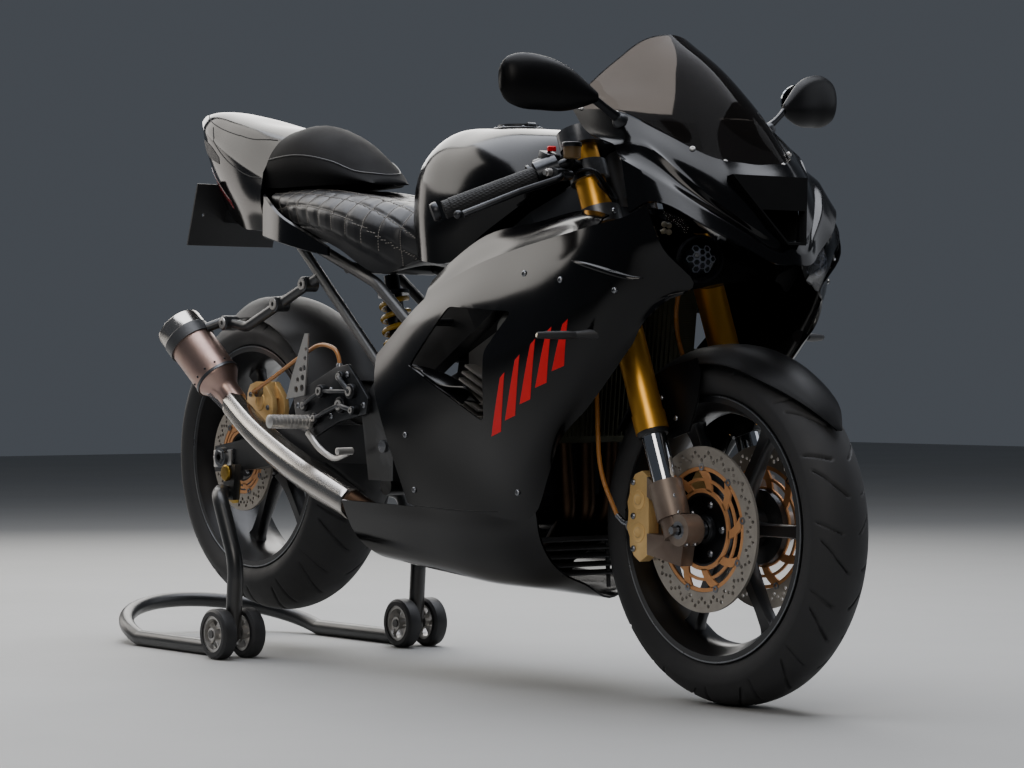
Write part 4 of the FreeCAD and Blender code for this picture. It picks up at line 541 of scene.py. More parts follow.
class Shape:
    """Mesh that is put together from simple forms, in the row frame."""

    def __init__(self) -> None:
        """Starts with nothing."""
        self.verts: Line = []
        self.faces: list[tuple[int, ...]] = []

    def add(self, verts: Line, faces: list[tuple[int, ...]]) -> "Shape":
        """Adds points and the faces between them."""
        base = len(self.verts)
        self.verts.extend(verts)
        self.faces.extend(tuple(i + base for i in face) for face in faces)
        return self

    def join(self, other: "Shape") -> "Shape":
        """Adds another form."""
        return self.add(other.verts, other.faces)

    def rings(self, rings: Grid, loop: bool = False) -> "Shape":
        """Adds a skin over rings of points, closed at its ends or joined into a loop."""
        count = len(rings[0])
        faces = []
        for i in range(len(rings) if loop else len(rings) - 1):
            a, b = i * count, ((i + 1) % len(rings)) * count
            faces.extend((a + j, a + (j + 1) % count, b + (j + 1) % count, b + j) for j in range(count))
        total = len(rings) * count
        if not loop:
            faces.append(tuple(reversed(range(count))))
            faces.append(tuple(range(total - count, total)))
        return self.add([p for ring in rings for p in ring], faces)

    def lathe(self, profile: Outline, origin: Vector, axis: Vector, sides: int = 32,
            loop: bool = False) -> "Shape":
        """Adds a turned form from (distance along the axis, radius) in millimetres."""
        axis = axis.normalized()
        side = axis.orthogonal().normalized()
        up = axis.cross(side)
        turns = [tau * k / sides for k in range(sides)]
        return self.rings([[origin + axis * (t * MM) + (side * cos(w) + up * sin(w)) * (max(r, 0.02) * MM)
            for w in turns] for t, r in profile], loop)

    def tube(self, span: tuple[float, float], radii: tuple[float, float], origin: Vector, axis: Vector,
            sides: int) -> "Shape":
        """Adds a pipe over a span of the axis, between its inner and its outer radius."""
        (low, high), (inner, outer) = span, radii
        return self.lathe([(low, inner), (low, outer), (high, outer), (high, inner)], origin, axis, sides,
            True)

    def rod(self, a: Vector, b: Vector, radius: float, sides: int = 16) -> "Shape":
        """Adds a round rod between two points."""
        return self.lathe([(0, radius), ((b - a).length / MM, radius)], a, b - a, sides)

    def sweep(self, path: Line, radius: float | list[float], sides: int = 10, flat: float = 1.0) -> "Shape":
        """Adds a bar along points, round or flattened."""
        radii = radius if isinstance(radius, list) else [radius] * len(path)
        side = (path[1] - path[0]).orthogonal().normalized()
        rings = []
        for i, point in enumerate(path):
            ahead = (path[min(i + 1, len(path) - 1)] - path[max(i - 1, 0)]).normalized()
            side = (side - ahead * side.dot(ahead)).normalized()
            up = ahead.cross(side)
            rings.append([point + (side * cos(w) + up * (sin(w) * flat)) * (radii[i] * MM) for w in (
                tau * k / sides for k in range(sides))])
        return self.rings(rings)

    def plate(self, outline: Outline, y_one: float, y_other: float) -> "Shape":
        """Adds a plate with an outline of (x, z), between two values of y."""
        return self.rings([[at(x, y, z) for x, z in outline] for y in sorted((y_one, y_other))])

    def block(self, centre: Vector, size: Place, turn: float = 0.0) -> "Shape":
        """Adds a box, turned about the Y axis by an angle in degrees."""
        spin = Matrix.Rotation(radians(turn), 3, "Y")
        a, b, c = (s * MM / 2.0 for s in size)
        return self.rings([[centre + spin @ Vector((x, y, z)) for y, z in ((-b, -c), (b, -c), (b, c),
            (-b, c))] for x in (-a, a)])

    def screw(self, place: Vector, axis: Vector, radius: float) -> "Shape":
        """Adds a button-head screw with its socket."""
        r = radius
        return self.lathe([(-0.4 * r, r), (0.25 * r, r), (0.55 * r, 0.72 * r), (0.6 * r, 0.48 * r),
            (0.2 * r, 0.42 * r), (0.2 * r, 0)], place, axis, 12)

    def ball(self, centre: Vector, radius: float, axis: Vector, share: float = 1.0) -> "Shape":
        """Adds a ball, or the front share of one along an axis."""
        turns = [pi * share * k / 8 for k in range(9)]
        return self.lathe([(radius * cos(w), radius * sin(w)) for w in turns], centre, axis, 16)

    def shell(self, rows: Grid, thick: float, inside: Vector) -> "Shape":
        """Adds a sheet with its thickness laid towards a point inside."""
        n, m = len(rows), len(rows[0])
        inner = []
        for i in range(n):
            for j in range(m):
                along = rows[min(i + 1, n - 1)][j] - rows[max(i - 1, 0)][j]
                across = rows[i][min(j + 1, m - 1)] - rows[i][max(j - 1, 0)]
                normal = along.cross(across)
                if normal.dot(rows[i][j] - inside) < 0:
                    normal.negate()
                inner.append(rows[i][j] - normal.normalized() * (thick * MM))
        total = n * m
        faces = []
        for i in range(n - 1):
            for j in range(m - 1):
                quad = (i * m + j, i * m + j + 1, (i + 1) * m + j + 1, (i + 1) * m + j)
                faces.append(quad)
                faces.append(tuple(total + k for k in reversed(quad)))
        rim = ([(0, j) for j in range(m)] + [(i, m - 1) for i in range(1, n)] + [
            (n - 1, j) for j in range(m - 2, -1, -1)] + [(i, 0) for i in range(n - 2, 0, -1)])
        marks = [i * m + j for i, j in rim]
        for a, b in zip(marks, marks[1:] + marks[:1]):
            faces.append((b, a, total + a, total + b))
        return self.add([p for row in rows for p in row] + inner, faces)

    def turned(self, count: int, centre: Vector) -> "Shape":
        """Repeats the form evenly around the wheel axis through a centre."""
        verts, faces = list(self.verts), list(self.faces)
        for k in range(1, count):
            spin = Matrix.Rotation(tau * k / count, 3, "Y")
            self.add([centre + spin @ (v - centre) for v in verts], faces)
        return self

    def mesh(self, name: str) -> Object:
        """Plain object with the form's mesh, its faces pointing outwards."""
        mesh = bpy.data.meshes.new(name)
        mesh.from_pydata(self.verts, [], self.faces)
        work = bmesh.new()
        work.from_mesh(mesh)
        bmesh.ops.recalc_face_normals(work, faces=work.faces)
        work.to_mesh(mesh)
        work.free()
        return add_object(name, mesh)

    def piece(self, name: str, finish: Finish, body: str = "chassis", angle: float = 32.0, bevel: float = 0.0,
            cutter: "Shape | None" = None) -> Object:
        """Turns the form into a dressed piece that rides on a body.

        Args:
            name: name of the piece.
            finish: finish that dresses it.
            body: CAD body that it moves with.
            angle: edges sharper than this many degrees stay crisp.
            bevel: width in millimetres of the rounding along sharp edges.
            cutter: form that is cut out of it.

        Returns:
            The new object.
        """
        made = self.mesh(name)
        if cutter:
            tool = cutter.mesh(name + "_tool")
            hole = made.modifiers.new("hole", "BOOLEAN")
            hole.operation, hole.solver, hole.object = "DIFFERENCE", "EXACT", tool
            bake(made)
            bpy.data.objects.remove(tool)
        if bevel:
            edge = made.modifiers.new("edge", "BEVEL")
            edge.width, edge.segments, edge.limit_method = bevel * MM, 2, "ANGLE"
            edge.angle_limit = radians(40)
            bake(made)
        made.data.materials.clear()
        made.data.materials.append(finish.material())
        shade(made.data, angle)
        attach(made, body)
        LOG.info("%s: %d faces on %s", name, len(made.data.polygons), body)
        return made


def on_skin(obj: Object, points: Line, lift: float = 0.3) -> Line:
    """Points moved to the nearest place on a piece, lifted off it by millimetres."""
    moved = []
    for point in points:
        _, place, normal, _ = obj.closest_point_on_mesh(point)
        moved.append(place + normal * (lift * MM))
    return moved


def film(obj: Object, corners: Line, side: int, steps: int = 16) -> Shape:
    """Thin film on the side of a piece, between four corners seen from that side."""
    a, b, c, d = corners
    rows = []
    for i in range(steps + 1):
        left, right = a.lerp(d, i / steps), b.lerp(c, i / steps)
        row = []
        for j in range(steps + 1):
            point = left.lerp(right, j / steps)
            start = Vector((point.x, side * 0.6, point.z))
            hit, place, normal, _ = obj.ray_cast(start, Vector((0.0, -side, 0.0)))
            row.append(place + normal * (0.5 * MM) if hit else point)
        rows.append(row)
    return Shape().shell(rows, 0.4, Vector((rows[0][0].x, 0.0, rows[0][0].z)))


# Tables of places, in millimetres

FOOT_BOSSES = (
    # x, z, radius and thickness of the round parts on a foot rest plate
    (-912, 528, 15, 9), (-950, 556, 11, 7), (-1010, 528, 13, 12), (-948, 502, 16, 8), (-1032, 476, 11, 10),
    (-1074, 500, 12, 6), (-898, 492, 9, 14),
)
FOOT_RODS = (
    # ends of the rods between those parts, and their radius
    ((-912, 528), (-1010, 528), 4), ((-948, 502), (-1032, 476), 4.5), ((-950, 556), (-912, 528), 5),
    ((-1010, 528), (-1074, 500), 3.6), ((-948, 502), (-898, 492), 5),
)
LINK_ROWS = (
    # middle of the link pipe, half its width and half its height
    (-906, -161, 314, 29, 29), (-1060, -172, 372, 31.5, 30.5), (-1230, -170, 446, 29.5, 28.5),
    (-1330, -163, 500, 27, 27),
)
# Lower edge of the side panels, where the belly pan starts.
SEAM = ((-302, 190, 320), (-463, 208, 316), (-640, 206, 320))
FAIRING_ROWS = (
    ((22, 210, 838), (52, 200, 768), (62, 143, 704), (36, 172, 688), (-10, 195, 640), (-35, 190, 613)),
    ((-10, 222, 824), (-20, 230, 770), (-30, 234, 700), (-60, 230, 640), (-110, 215, 560), (-150, 195, 505)),
    ((-80, 232, 811), (-90, 242, 750), (-100, 245, 680), (-130, 240, 600), (-180, 222, 500),
     (-226, 196, 446)),
    ((-200, 226, 795), (-200, 245, 722), (-205, 250, 640), (-215, 243, 555), (-240, 225, 450),
     (-262, 194, 383)),
    ((-330, 216, 777), (-330, 238, 700), (-330, 246, 620), (-325, 240, 520), (-318, 220, 400), SEAM[0]),
    ((-463, 206, 752), (-463, 228, 685), (-463, 236, 600), (-463, 230, 500), (-463, 216, 400), SEAM[1]),
    ((-627, 196, 697), (-627, 214, 640), (-627, 222, 570), (-627, 218, 490), (-627, 212, 400), SEAM[2]),
    ((-787, 190, 597), (-780, 200, 560), (-765, 208, 520), (-745, 210, 480), (-717, 208, 422),
     (-665, 206, 326)),
)
TAIL_SEAMS = (
    ((-1640, 28, 1106), (-1560, 62, 1080), (-1450, 76, 1050), (-1352, 84, 1034), (-1296, 84, 1040)),
    ((-1556, 66, 1072), (-1535, 78, 1050), (-1500, 84, 1024), (-1420, 100, 985), (-1340, 116, 960),
     (-1294, 122, 954)),
)
TAIL_INSET = (
    ((-1612, 66, 1052), (-1560, 80, 1040), (-1500, 90, 1008)), ((-1606, 62, 1030), (-1552, 76, 1010),
     (-1496, 88, 994)),
)
TAIL_LAMP = (
    ((-1584, 66, 990), (-1524, 82, 955), (-1452, 97, 915)), ((-1568, 58, 972), (-1508, 76, 938),
     (-1440, 94, 899)),
)
VENT_OUTLINE = ((-517, 682), (-300, 669), (-385, 600), (-398, 476), (-640, 576))
FIN_ROWS = (
    ((-678, 215, 585), (-674, 214, 573)), ((-600, 221, 567), (-594, 204, 545)),
    ((-544, 222, 545), (-534, 196, 520)), ((-466, 219, 539), (-460, 190, 510)),
)
LEDGE_ROWS = (
    ((-80, 231, 810), (-86, 214, 823), (-92, 196, 829)), ((-140, 230, 803), (-144, 204, 827),
     (-148, 178, 838)),
    ((-200, 225, 794), (-202, 196, 826), (-204, 164, 842)), ((-330, 215, 776), (-332, 186, 810),
     (-336, 156, 828)),
    ((-463, 205, 751), (-465, 188, 784), (-468, 173, 808)), ((-560, 200, 719), (-560, 190, 745),
     (-560, 180, 766)),
    ((-627, 195, 696), (-625, 189, 714), (-622, 180, 732)),
)
BELLY_ROWS = (
    (SEAM[0], (-306, 178, 275), (-312, 150, 235), (-322, 105, 205), (-327, 60, 188), (-333, 0, 162)),
    ((-380, 199, 318), (-380, 194, 270), (-380, 168, 224), (-380, 122, 192), (-382, 60, 176), (-385, 0, 165)),
    (SEAM[1], (-470, 202, 270), (-475, 178, 222), (-480, 132, 188), (-485, 60, 176), (-490, 0, 172)),
    (SEAM[2], (-645, 203, 286), (-650, 182, 236), (-655, 138, 202), (-660, 60, 190), (-660, 0, 186)),
    ((-885, 202, 324), (-880, 196, 300), (-866, 178, 254), (-850, 140, 220), (-835, 60, 206), (-830, 0, 204)),
)
NOSE_ROWS = (
    ((62, 0, 912), (59, 35, 914.5), (56, 70, 917), (-35, 132, 968), (-96, 158, 1000), (-228, 168, 1018)),
    ((104, 0, 864), (100, 38, 866), (84, 80, 876), (-6, 144, 938), (-80, 168, 978), (-172, 182, 976)),
    ((147, 0, 784), (140, 34, 786), (108, 84, 820), (36, 141, 891), (-30, 172, 943), (-88, 190, 948)),
    ((151, 0, 772), (142, 32, 773), (107, 77, 807), (38, 143, 873), (-18, 179, 918), (-74, 194, 932)),
    ((155, 0, 760), (150, 32, 760), (119, 78, 793), (56, 155, 853), (4, 194, 893), (-52, 202, 920)),
    ((158, 0, 742), (152, 36, 742), (131, 76, 764), (94, 144, 806), (24, 208, 845), (-10, 221, 829)),
)
SCREEN_ROWS = (
    ((60, 0, 911), (54, 66, 916), (-36, 126, 969), (-98, 150, 1002), (-224, 158, 1019)),
    ((8, 0, 1004), (-6, 62, 1002), (-72, 116, 1018), (-128, 142, 1030), (-216, 152, 1036)),
    ((-74, 0, 1090), (-88, 58, 1082), (-130, 106, 1062), (-168, 132, 1056), (-214, 146, 1050)),
    ((-162, 0, 1150), (-172, 52, 1140), (-192, 98, 1104), (-204, 124, 1080), (-214, 140, 1062)),
)
LAMP_ROWS = (
    ((144, 36, 737), (124, 88, 764), (82, 153, 807), (31, 201, 836)),
    ((150, 38, 727), (126, 92, 741), (84, 153, 758), (47, 203, 804)),
    ((143, 38, 717), (108, 82, 713), (68, 136, 703), (57, 192, 770)),
)
# Sections: x, then (y, z) from the top centre to the bottom centre.
TANK_ROWS = (
    (-345, ((0, 955), (30, 950), (44, 932), (46, 916), (40, 908), (0, 908))),
    (-385, ((0, 982), (66, 972), (112, 926), (128, 896), (112, 882), (0, 880))),
    (-480, ((0, 1004), (82, 995), (146, 945), (168, 890), (156, 822), (0, 818))),
    (-600, ((0, 1012), (88, 1004), (150, 958), (172, 880), (160, 764), (0, 764))),
    (-700, ((0, 1014), (80, 1004), (138, 955), (156, 870), (148, 770), (0, 770))),
    (-770, ((0, 985), (62, 972), (104, 920), (116, 850), (104, 780), (0, 780))),
    (-800, ((0, 915), (40, 905), (70, 870), (78, 835), (66, 790), (0, 790))),
)
SEAT_ROWS = (
    (-800.3, ((0, 866), (50, 860), (72, 832), (64, 790), (0, 786))),
    (-870, ((0, 884), (78, 876), (112, 840), (110, 752), (0, 770))),
    (-1000, ((0, 906), (112, 898), (142, 872), (138, 806), (0, 812))),
    (-1130, ((0, 922), (116, 915), (142, 896), (136, 852), (0, 852))),
    (-1262, ((0, 930), (98, 926), (118, 916), (112, 896), (0, 890))),
)
PAD_ROWS = (
    (-1012, ((0, 938), (30, 936), (44, 933), (30, 931), (0, 931))),
    (-1090, ((0, 1000), (58, 980), (84, 950), (80, 932), (0, 932))),
    (-1180, ((0, 1048), (74, 1018), (104, 965), (100, 932), (0, 932))),
    (-1250, ((0, 1062), (80, 1030), (112, 972), (110, 932), (0, 932))),
    (-1286.7, ((0, 1058), (82, 1026), (114, 972), (112, 934), (0, 934))),
)
TAIL_ROWS = (
    (-1287, ((0, 1056), (84, 1024), (120, 965), (126, 905), (112, 850), (0, 838))),
    (-1400, ((0, 1072), (72, 1062), (108, 1000), (110, 930), (92, 858), (0, 850))),
    (-1500, ((0, 1096), (60, 1086), (92, 1035), (88, 960), (66, 895), (0, 880))),
    (-1600, ((0, 1112), (44, 1104), (66, 1075), (60, 1030), (44, 995), (0, 985))),
    (-1656, ((0, 1110), (26, 1106), (36, 1094), (34, 1080), (24, 1070), (0, 1066))),
)
SEAT_STRIPS = (
    # x, y, z and half height of the strips under the seat
    (-1282, 124, 878, 44), (-1180, 149, 846, 28), (-1090, 152, 820, 19), (-1010, 150, 797, 9),
)
MIRROR_ROWS = (
    # y, x, z, half height and half depth of a mirror's rings
    (212, -108, 1027, 9, 8), (232, -115, 1032, 22, 14), (262, -126, 1040, 38, 22), (305, -140, 1048, 46, 26),
    (345, -150, 1051, 45, 25), (368, -155, 1052, 34, 18), (376, -157, 1053, 20, 10),
)
MOUTH_OUTLINE = ((-76, 884), (76, 884), (72, 872), (20, 790), (12, 782), (-12, 782), (-20, 790), (-72, 872))
SCREEN_SCREWS = ((46, 62, 924), (-44, 140, 962), (-118, 160, 1003), (-205, 166, 1014), (20, 108, 936))
PANEL_SCREWS = (
    (-275, 240, 735), (-160, 245, 720), (-30, 236, 700), (-660, 214, 450), (-330, 222, 350), (-640, 212, 350),
    (-720, 208, 470),
)
SPEAR_LINE = ((-134, 244, 752), (-95, 243, 744), (-40, 238, 731), (6, 228, 719), (26, 222, 716))
SILL_ROWS = (
    ((-640, 221, 577), (-636, 214, 579)), ((-600, 222, 560), (-598, 205, 572)),
    ((-540, 223, 535), (-540, 196, 556)), ((-475, 221, 509), (-486, 192, 528)),
)
FOOT_PLATE = (
    (-862, 515), (-895, 548), (-930, 580), (-972, 574), (-1010, 560), (-1120, 520), (-1112, 482),
     (-1090, 452),
    (-1040, 440), (-1000, 456), (-960, 470), (-868, 486),
)
HEEL_GUARD = ((-1075, 520), (-1140, 512), (-1118, 560), (-1074, 640), (-1062, 640), (-1066, 580))
HEEL_DRILLS = (
    # x, z and radius of the holes in a heel guard
    (-1084, 534, 7), (-1104, 531, 6.5), (-1082, 554, 6.5), (-1099, 550, 5.5), (-1076, 573, 6),
    (-1088, 570, 5), (-1073, 592, 5), (-1070, 610, 4),
)
REAR_CALIPER = (
    (-1262, 470), (-1256, 492), (-1260, 512), (-1276, 530), (-1292, 545), (-1318, 546), (-1340, 540),
    (-1350, 524), (-1352, 505), (-1334, 486), (-1310, 464), (-1288, 466),
)
ENGINE_COVERS = (
    # turned profile, place and sides of a round cover
    (((0, 80), (6, 80), (14, 74), (20, 66), (20, 40), (23, 38), (23, 0)), (-590, -152, 390), 56),
    (((0, 60), (5, 60), (12, 54), (16, 46), (16, 0)), (-490, 156, 382), 48),
    (((0, 44), (4, 44), (9, 38), (10, 0)), (-436, -98, 559), 40),
)
HOOK_OUTLINE = ((-1372, 306), (-1356, 300), (-1336, 302), (-1328, 340), (-1333, 350), (-1361, 350),
    (-1366, 340))
CALIPER_OUTLINE = (
    (-106, 254), (-106, 386), (-124, 396), (-142, 390), (-155, 372), (-157, 356), (-163, 342), (-160, 326),
    (-161, 312), (-165, 298), (-157, 282), (-156, 266), (-146, 250), (-130, 240),
)
WING_OUTLINE = (
    (-146, 548), (-80, 574), (-10, 588), (2, 566), (-6, 520), (-30, 464), (-72, 452), (-118, 464),
     (-140, 505),
)
# Outline of a spoke's section, in shares of its half width and half depth.
CHAMFERED = ((-1, -0.55), (-0.75, -1), (0.75, -1), (1, -0.55), (1, 0.55), (0.75, 1), (-0.75, 1), (-1, 0.55))
LIGHTS = (
    # name, place, size in metres, power in watts and tint
    ("overhead", (-900, 300, 4300), 5, 330, "#f4f7ff"),
    ("rear_left", (-4300, 1900, 2700), 2.8, 110, "#f6f4f0"),
    ("rear_low", (-5600, -500, 1000), 1.5, 14, "#f6efe8"),
    ("rear_right", (-4700, -1300, 3100), 3, 95, "#f6f1ea"),
    ("camera_side", (3400, -3900, 3600), 2.6, 90, "#fff8f0"),
    ("far_side", (900, 4400, 2400), 3, 26, "#f4f7ff"),
)


# Wheels

@dataclass
class Tyre:
    """Tyre with a round crown and slanted grooves."""

    node: str
    body: str
    centre: Vector
    outer: float
    width: float
    rim_width: float
    groove_depth: float = 4.0
    groove_edge: float = 2.85
    pitches: int = 15
    steps: int = 720
    crown_steps: int = 60

    def _depth(self, turn: float, y: float) -> float:
        """Depth of the tread grooves at an angle and a distance from the middle."""
        pitch = tau * self.outer / self.pitches
        away = abs(y) / (self.width / 2.0)
        place = turn * self.outer + (0.5 * pitch if y < 0 else 0.0)
        for low, high, lean, start in ((0.10, 0.90, 0.62, 0.0), (0.34, 0.97, 0.34, 0.52)):
            if low < away < high:
                line = (start + lean * (away - low) ** 1.3) * pitch
                gap = abs((place - line + pitch / 2) % pitch - pitch / 2)
                fade = min(1.0, (away - low) / 0.06, (high - away) / 0.06)
                if gap < self.groove_edge:
                    return self.groove_depth * fade * min(1.0, self.groove_edge - gap)
        return 0.0

    def build(self) -> None:
        """Makes the tyre in place of its CAD node."""
        half, bead_y, low = self.width / 2.0, self.rim_width / 2.0 - 5.3, RIM_R + 0.3
        shoulder = self.outer - self.width * 0.33
        middle = (RIM_R - 4 + shoulder) / 2.0 + 2.0
        crown = arc((-half, shoulder), (0.0, self.outer), (half, shoulder), self.crown_steps)
        left = arc((half, shoulder), (half * 0.97, middle), (bead_y, low), 9)[1:]
        right = arc((-bead_y, low), (-half * 0.97, middle), (-half, shoulder), 9)[:-1]
        sides = left + [(bead_y, low - 4), (-bead_y, low - 4)] + right
        rings = []
        for turn in spaced(self.steps):
            profile = [(y, r - self._depth(turn, y)) for y, r in crown] + sides
            rings.append([self.centre + around(turn, r) + mm(0, y, 0) for y, r in profile])
        made = Shape().rings(rings, loop=True).piece(self.node + "_tread", TYRE_RUBBER, self.body, angle=50)
        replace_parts(made, self.node)
        ribs = Shape()
        for side in SIDES:
            for reach in (0.22, 0.3, 0.74):
                r = low + (shoulder - low) * reach
                y = half * 0.97 if reach > 0.5 else bead_y + (half - bead_y) * reach * 1.9
                ribs.lathe([(-1.2, r - 1), (0.7, r), (-1.2, r + 1)], self.centre + mm(0, side * y, 0),
                    Y_AXIS * side, 96, loop=True)
        ribs.piece(self.node + "_sidewall_ribs", TYRE_RUBBER, self.body)


@dataclass
class Rim:
    """Cast wheel with tapered spokes and a machined lip."""

    node: str
    body: str
    centre: Vector
    width: float
    hub_half: float
    hub_r: float
    spokes: int = 6

    def build(self) -> None:
        """Makes the wheel in place of its CAD node."""
        half, hub, hub_r = self.width / 2.0, self.hub_half, self.hub_r
        seat = half - 5.0
        wheel = Shape().lathe(both_ways([(half * 0.35, 196), (half * 0.55, 200), (half * 0.8, RIM_R - 17),
            (half, RIM_R - 12), (half, RIM_R), (seat, RIM_R), (seat, RIM_R - 4.3)]), self.centre, Y_AXIS, 120,
            loop=True)
        wheel.lathe(both_ways([(hub, 14), (hub, hub_r * 0.8), (hub * 0.9, hub_r), (hub * 0.55, hub_r * 0.9)]),
            self.centre, Y_AXIS, 64, loop=True)
        rows = ((hub_r - 6, 25, 24), (hub_r + 16, 16, 20), (118, 11, 14), (165, 12.5, 12), (192, 18, 12.5),
            (201, 26, 14))
        rings = [[self.centre + mm(reach, deep * d, wide * s) for s, d in CHAMFERED]
            for reach, wide, deep in rows]
        spoke = Shape().rings(smooth_grid(rings, 1, 4)).turned(self.spokes, self.centre)
        made = wheel.join(spoke).piece(self.node + "_casting", WHEEL_COAT, self.body, angle=38)
        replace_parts(made, self.node)
        lip = Shape()
        for side in SIDES:
            lip.lathe([(-0.8, RIM_R - 3.2), (0.5, RIM_R - 2.6), (0.5, RIM_R - 0.4), (-0.8, RIM_R + 0.2)],
                self.centre + mm(0, side * half, 0), Y_AXIS * side, 120, loop=True)
        lip.piece(self.node + "_machined_lip", MACHINED_LIP, self.body)


@dataclass
class BrakeDisc:
    """Drilled disc on a carrier with leaning arms."""

    name: str
    body: str
    centre: Vector
    y: float
    hub_y: float
    outer: float
    hub_r: float
    steel: Finish
    thick: float = 5.0
    band: float = 34.0
    holes: int = 24
    arms: int = 9

    def build(self) -> Object:
        """Makes the ring, the carrier, the hub and the bobbins.

        Returns:
            The ring, which stands for the CAD disc.
        """
        middle = Vector((self.centre.x, self.y * MM, self.centre.z))
        half, inner, hub_r = self.thick / 2.0, self.outer - self.band, self.hub_r
        ring, drills, carrier, pins = Shape(), Shape(), Shape(), Shape()
        ring.tube((-half, half), (inner, self.outer), middle, Y_AXIS, 112)
        for share, start, r in ((0.3, 0.0, 3.6), (0.7, 0.5, 3.6), (0.5, 0.25, 3.2), (0.5, 0.75, 3.2)):
            for turn in spaced(self.holes, start):
                place = middle + around(turn, inner + self.band * share) - mm(0, 10, 0)
                drills.lathe([(0, r), (20, r)], place, Y_AXIS, 10)
        disc = ring.piece(self.name + "_ring", self.steel, self.body, cutter=drills)
        step, low_r, high_r = 360.0 / self.arms, hub_r + 5.0, inner - 5.0
        shares = (0.0, 0.25, 0.5, 0.75, 1.0)
        for k in range(self.arms):
            start = (k + 1) * step - 12.0
            edges = [(s, start) for s in shares] + [(s, start + 12.0) for s in reversed(shares)]
            flat = [middle + around(radians(edge + 16.0 * s ** 1.2), low_r + (high_r - low_r) * s)
                for s, edge in edges]
            carrier.rings([[p + mm(0, d, 0) for p in flat] for d in (-2, 2)])
            pins.tube((-3.6, 3.6), (3, 6.2), middle + around(radians(start + 22.0), inner - 1), Y_AXIS, 14)
        mid_r = (low_r + high_r) / 2.0
        for wide, low, high, sides in ((2, hub_r, hub_r + 7, 64), (2, inner - 7, inner - 0.5, 96),
                (1.6, mid_r - 2.5, mid_r + 2.5, 80)):
            carrier.tube((-wide, wide), (low, high), middle, Y_AXIS, sides)
        carrier.piece(self.name + "_carrier", CARRIER_GOLD, self.body)
        out = Y_AXIS * (1 if self.hub_y > 0 else -1)
        deep = abs(self.y - self.hub_y)
        hub = Shape().lathe([(0, 17), (0, hub_r + 2), (deep - 2, hub_r + 4), (deep, hub_r + 3),
            (deep, hub_r - 4), (deep - 6, hub_r - 9), (deep - 6, 26), (deep, 23), (deep, 17)],
            Vector((middle.x, self.hub_y * MM, middle.z)), out, 64, loop=True)
        hub.piece(self.name + "_hub", BLACK_ALLOY, self.body)
        for turn in spaced(5):
            pins.screw(middle + around(turn, hub_r - 19) - out * (6 * MM), out, 6.5)
        pins.piece(self.name + "_bobbins", ZINC_STEEL, self.body)
        return disc


@dataclass
class Wheels:
    """Both wheels with their tyres and discs."""

    front_rim_w: float = 104.0
    rear_rim_w: float = 156.0
    front_hub_half: float = 56.0
    rear_hub_half: float = 84.0

    def build(self) -> None:
        """Makes the pieces of both wheels."""
        Tyre("front_tyre", "front_wheel", FRONT_AXLE, FRONT_TYRE_R, 120.0, self.front_rim_w).build()
        Tyre("rear_tyre", "rear_wheel", REAR_AXLE, REAR_TYRE_R, 180.0, self.rear_rim_w).build()
        Rim("front_rim", "front_wheel", FRONT_AXLE, self.front_rim_w, self.front_hub_half, 34.0).build()
        Rim("rear_rim", "rear_wheel", REAR_AXLE, self.rear_rim_w, self.rear_hub_half, 44.0).build()
        for side in SIDES:
            made = BrakeDisc(f"front_disc_{side + 1}", "front_wheel", FRONT_AXLE, side * FRONT_DISC_Y,
                side * self.front_hub_half, 140.0, 62.0, FRONT_DISC_STEEL).build()
            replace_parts(made, "front_discs")
        made = BrakeDisc("rear_brake_disc", "rear_wheel", REAR_AXLE, -REAR_DISC_Y, -self.rear_hub_half, 110.0,
            50.0, REAR_DISC_STEEL).build()
        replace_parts(made, "rear_disc")


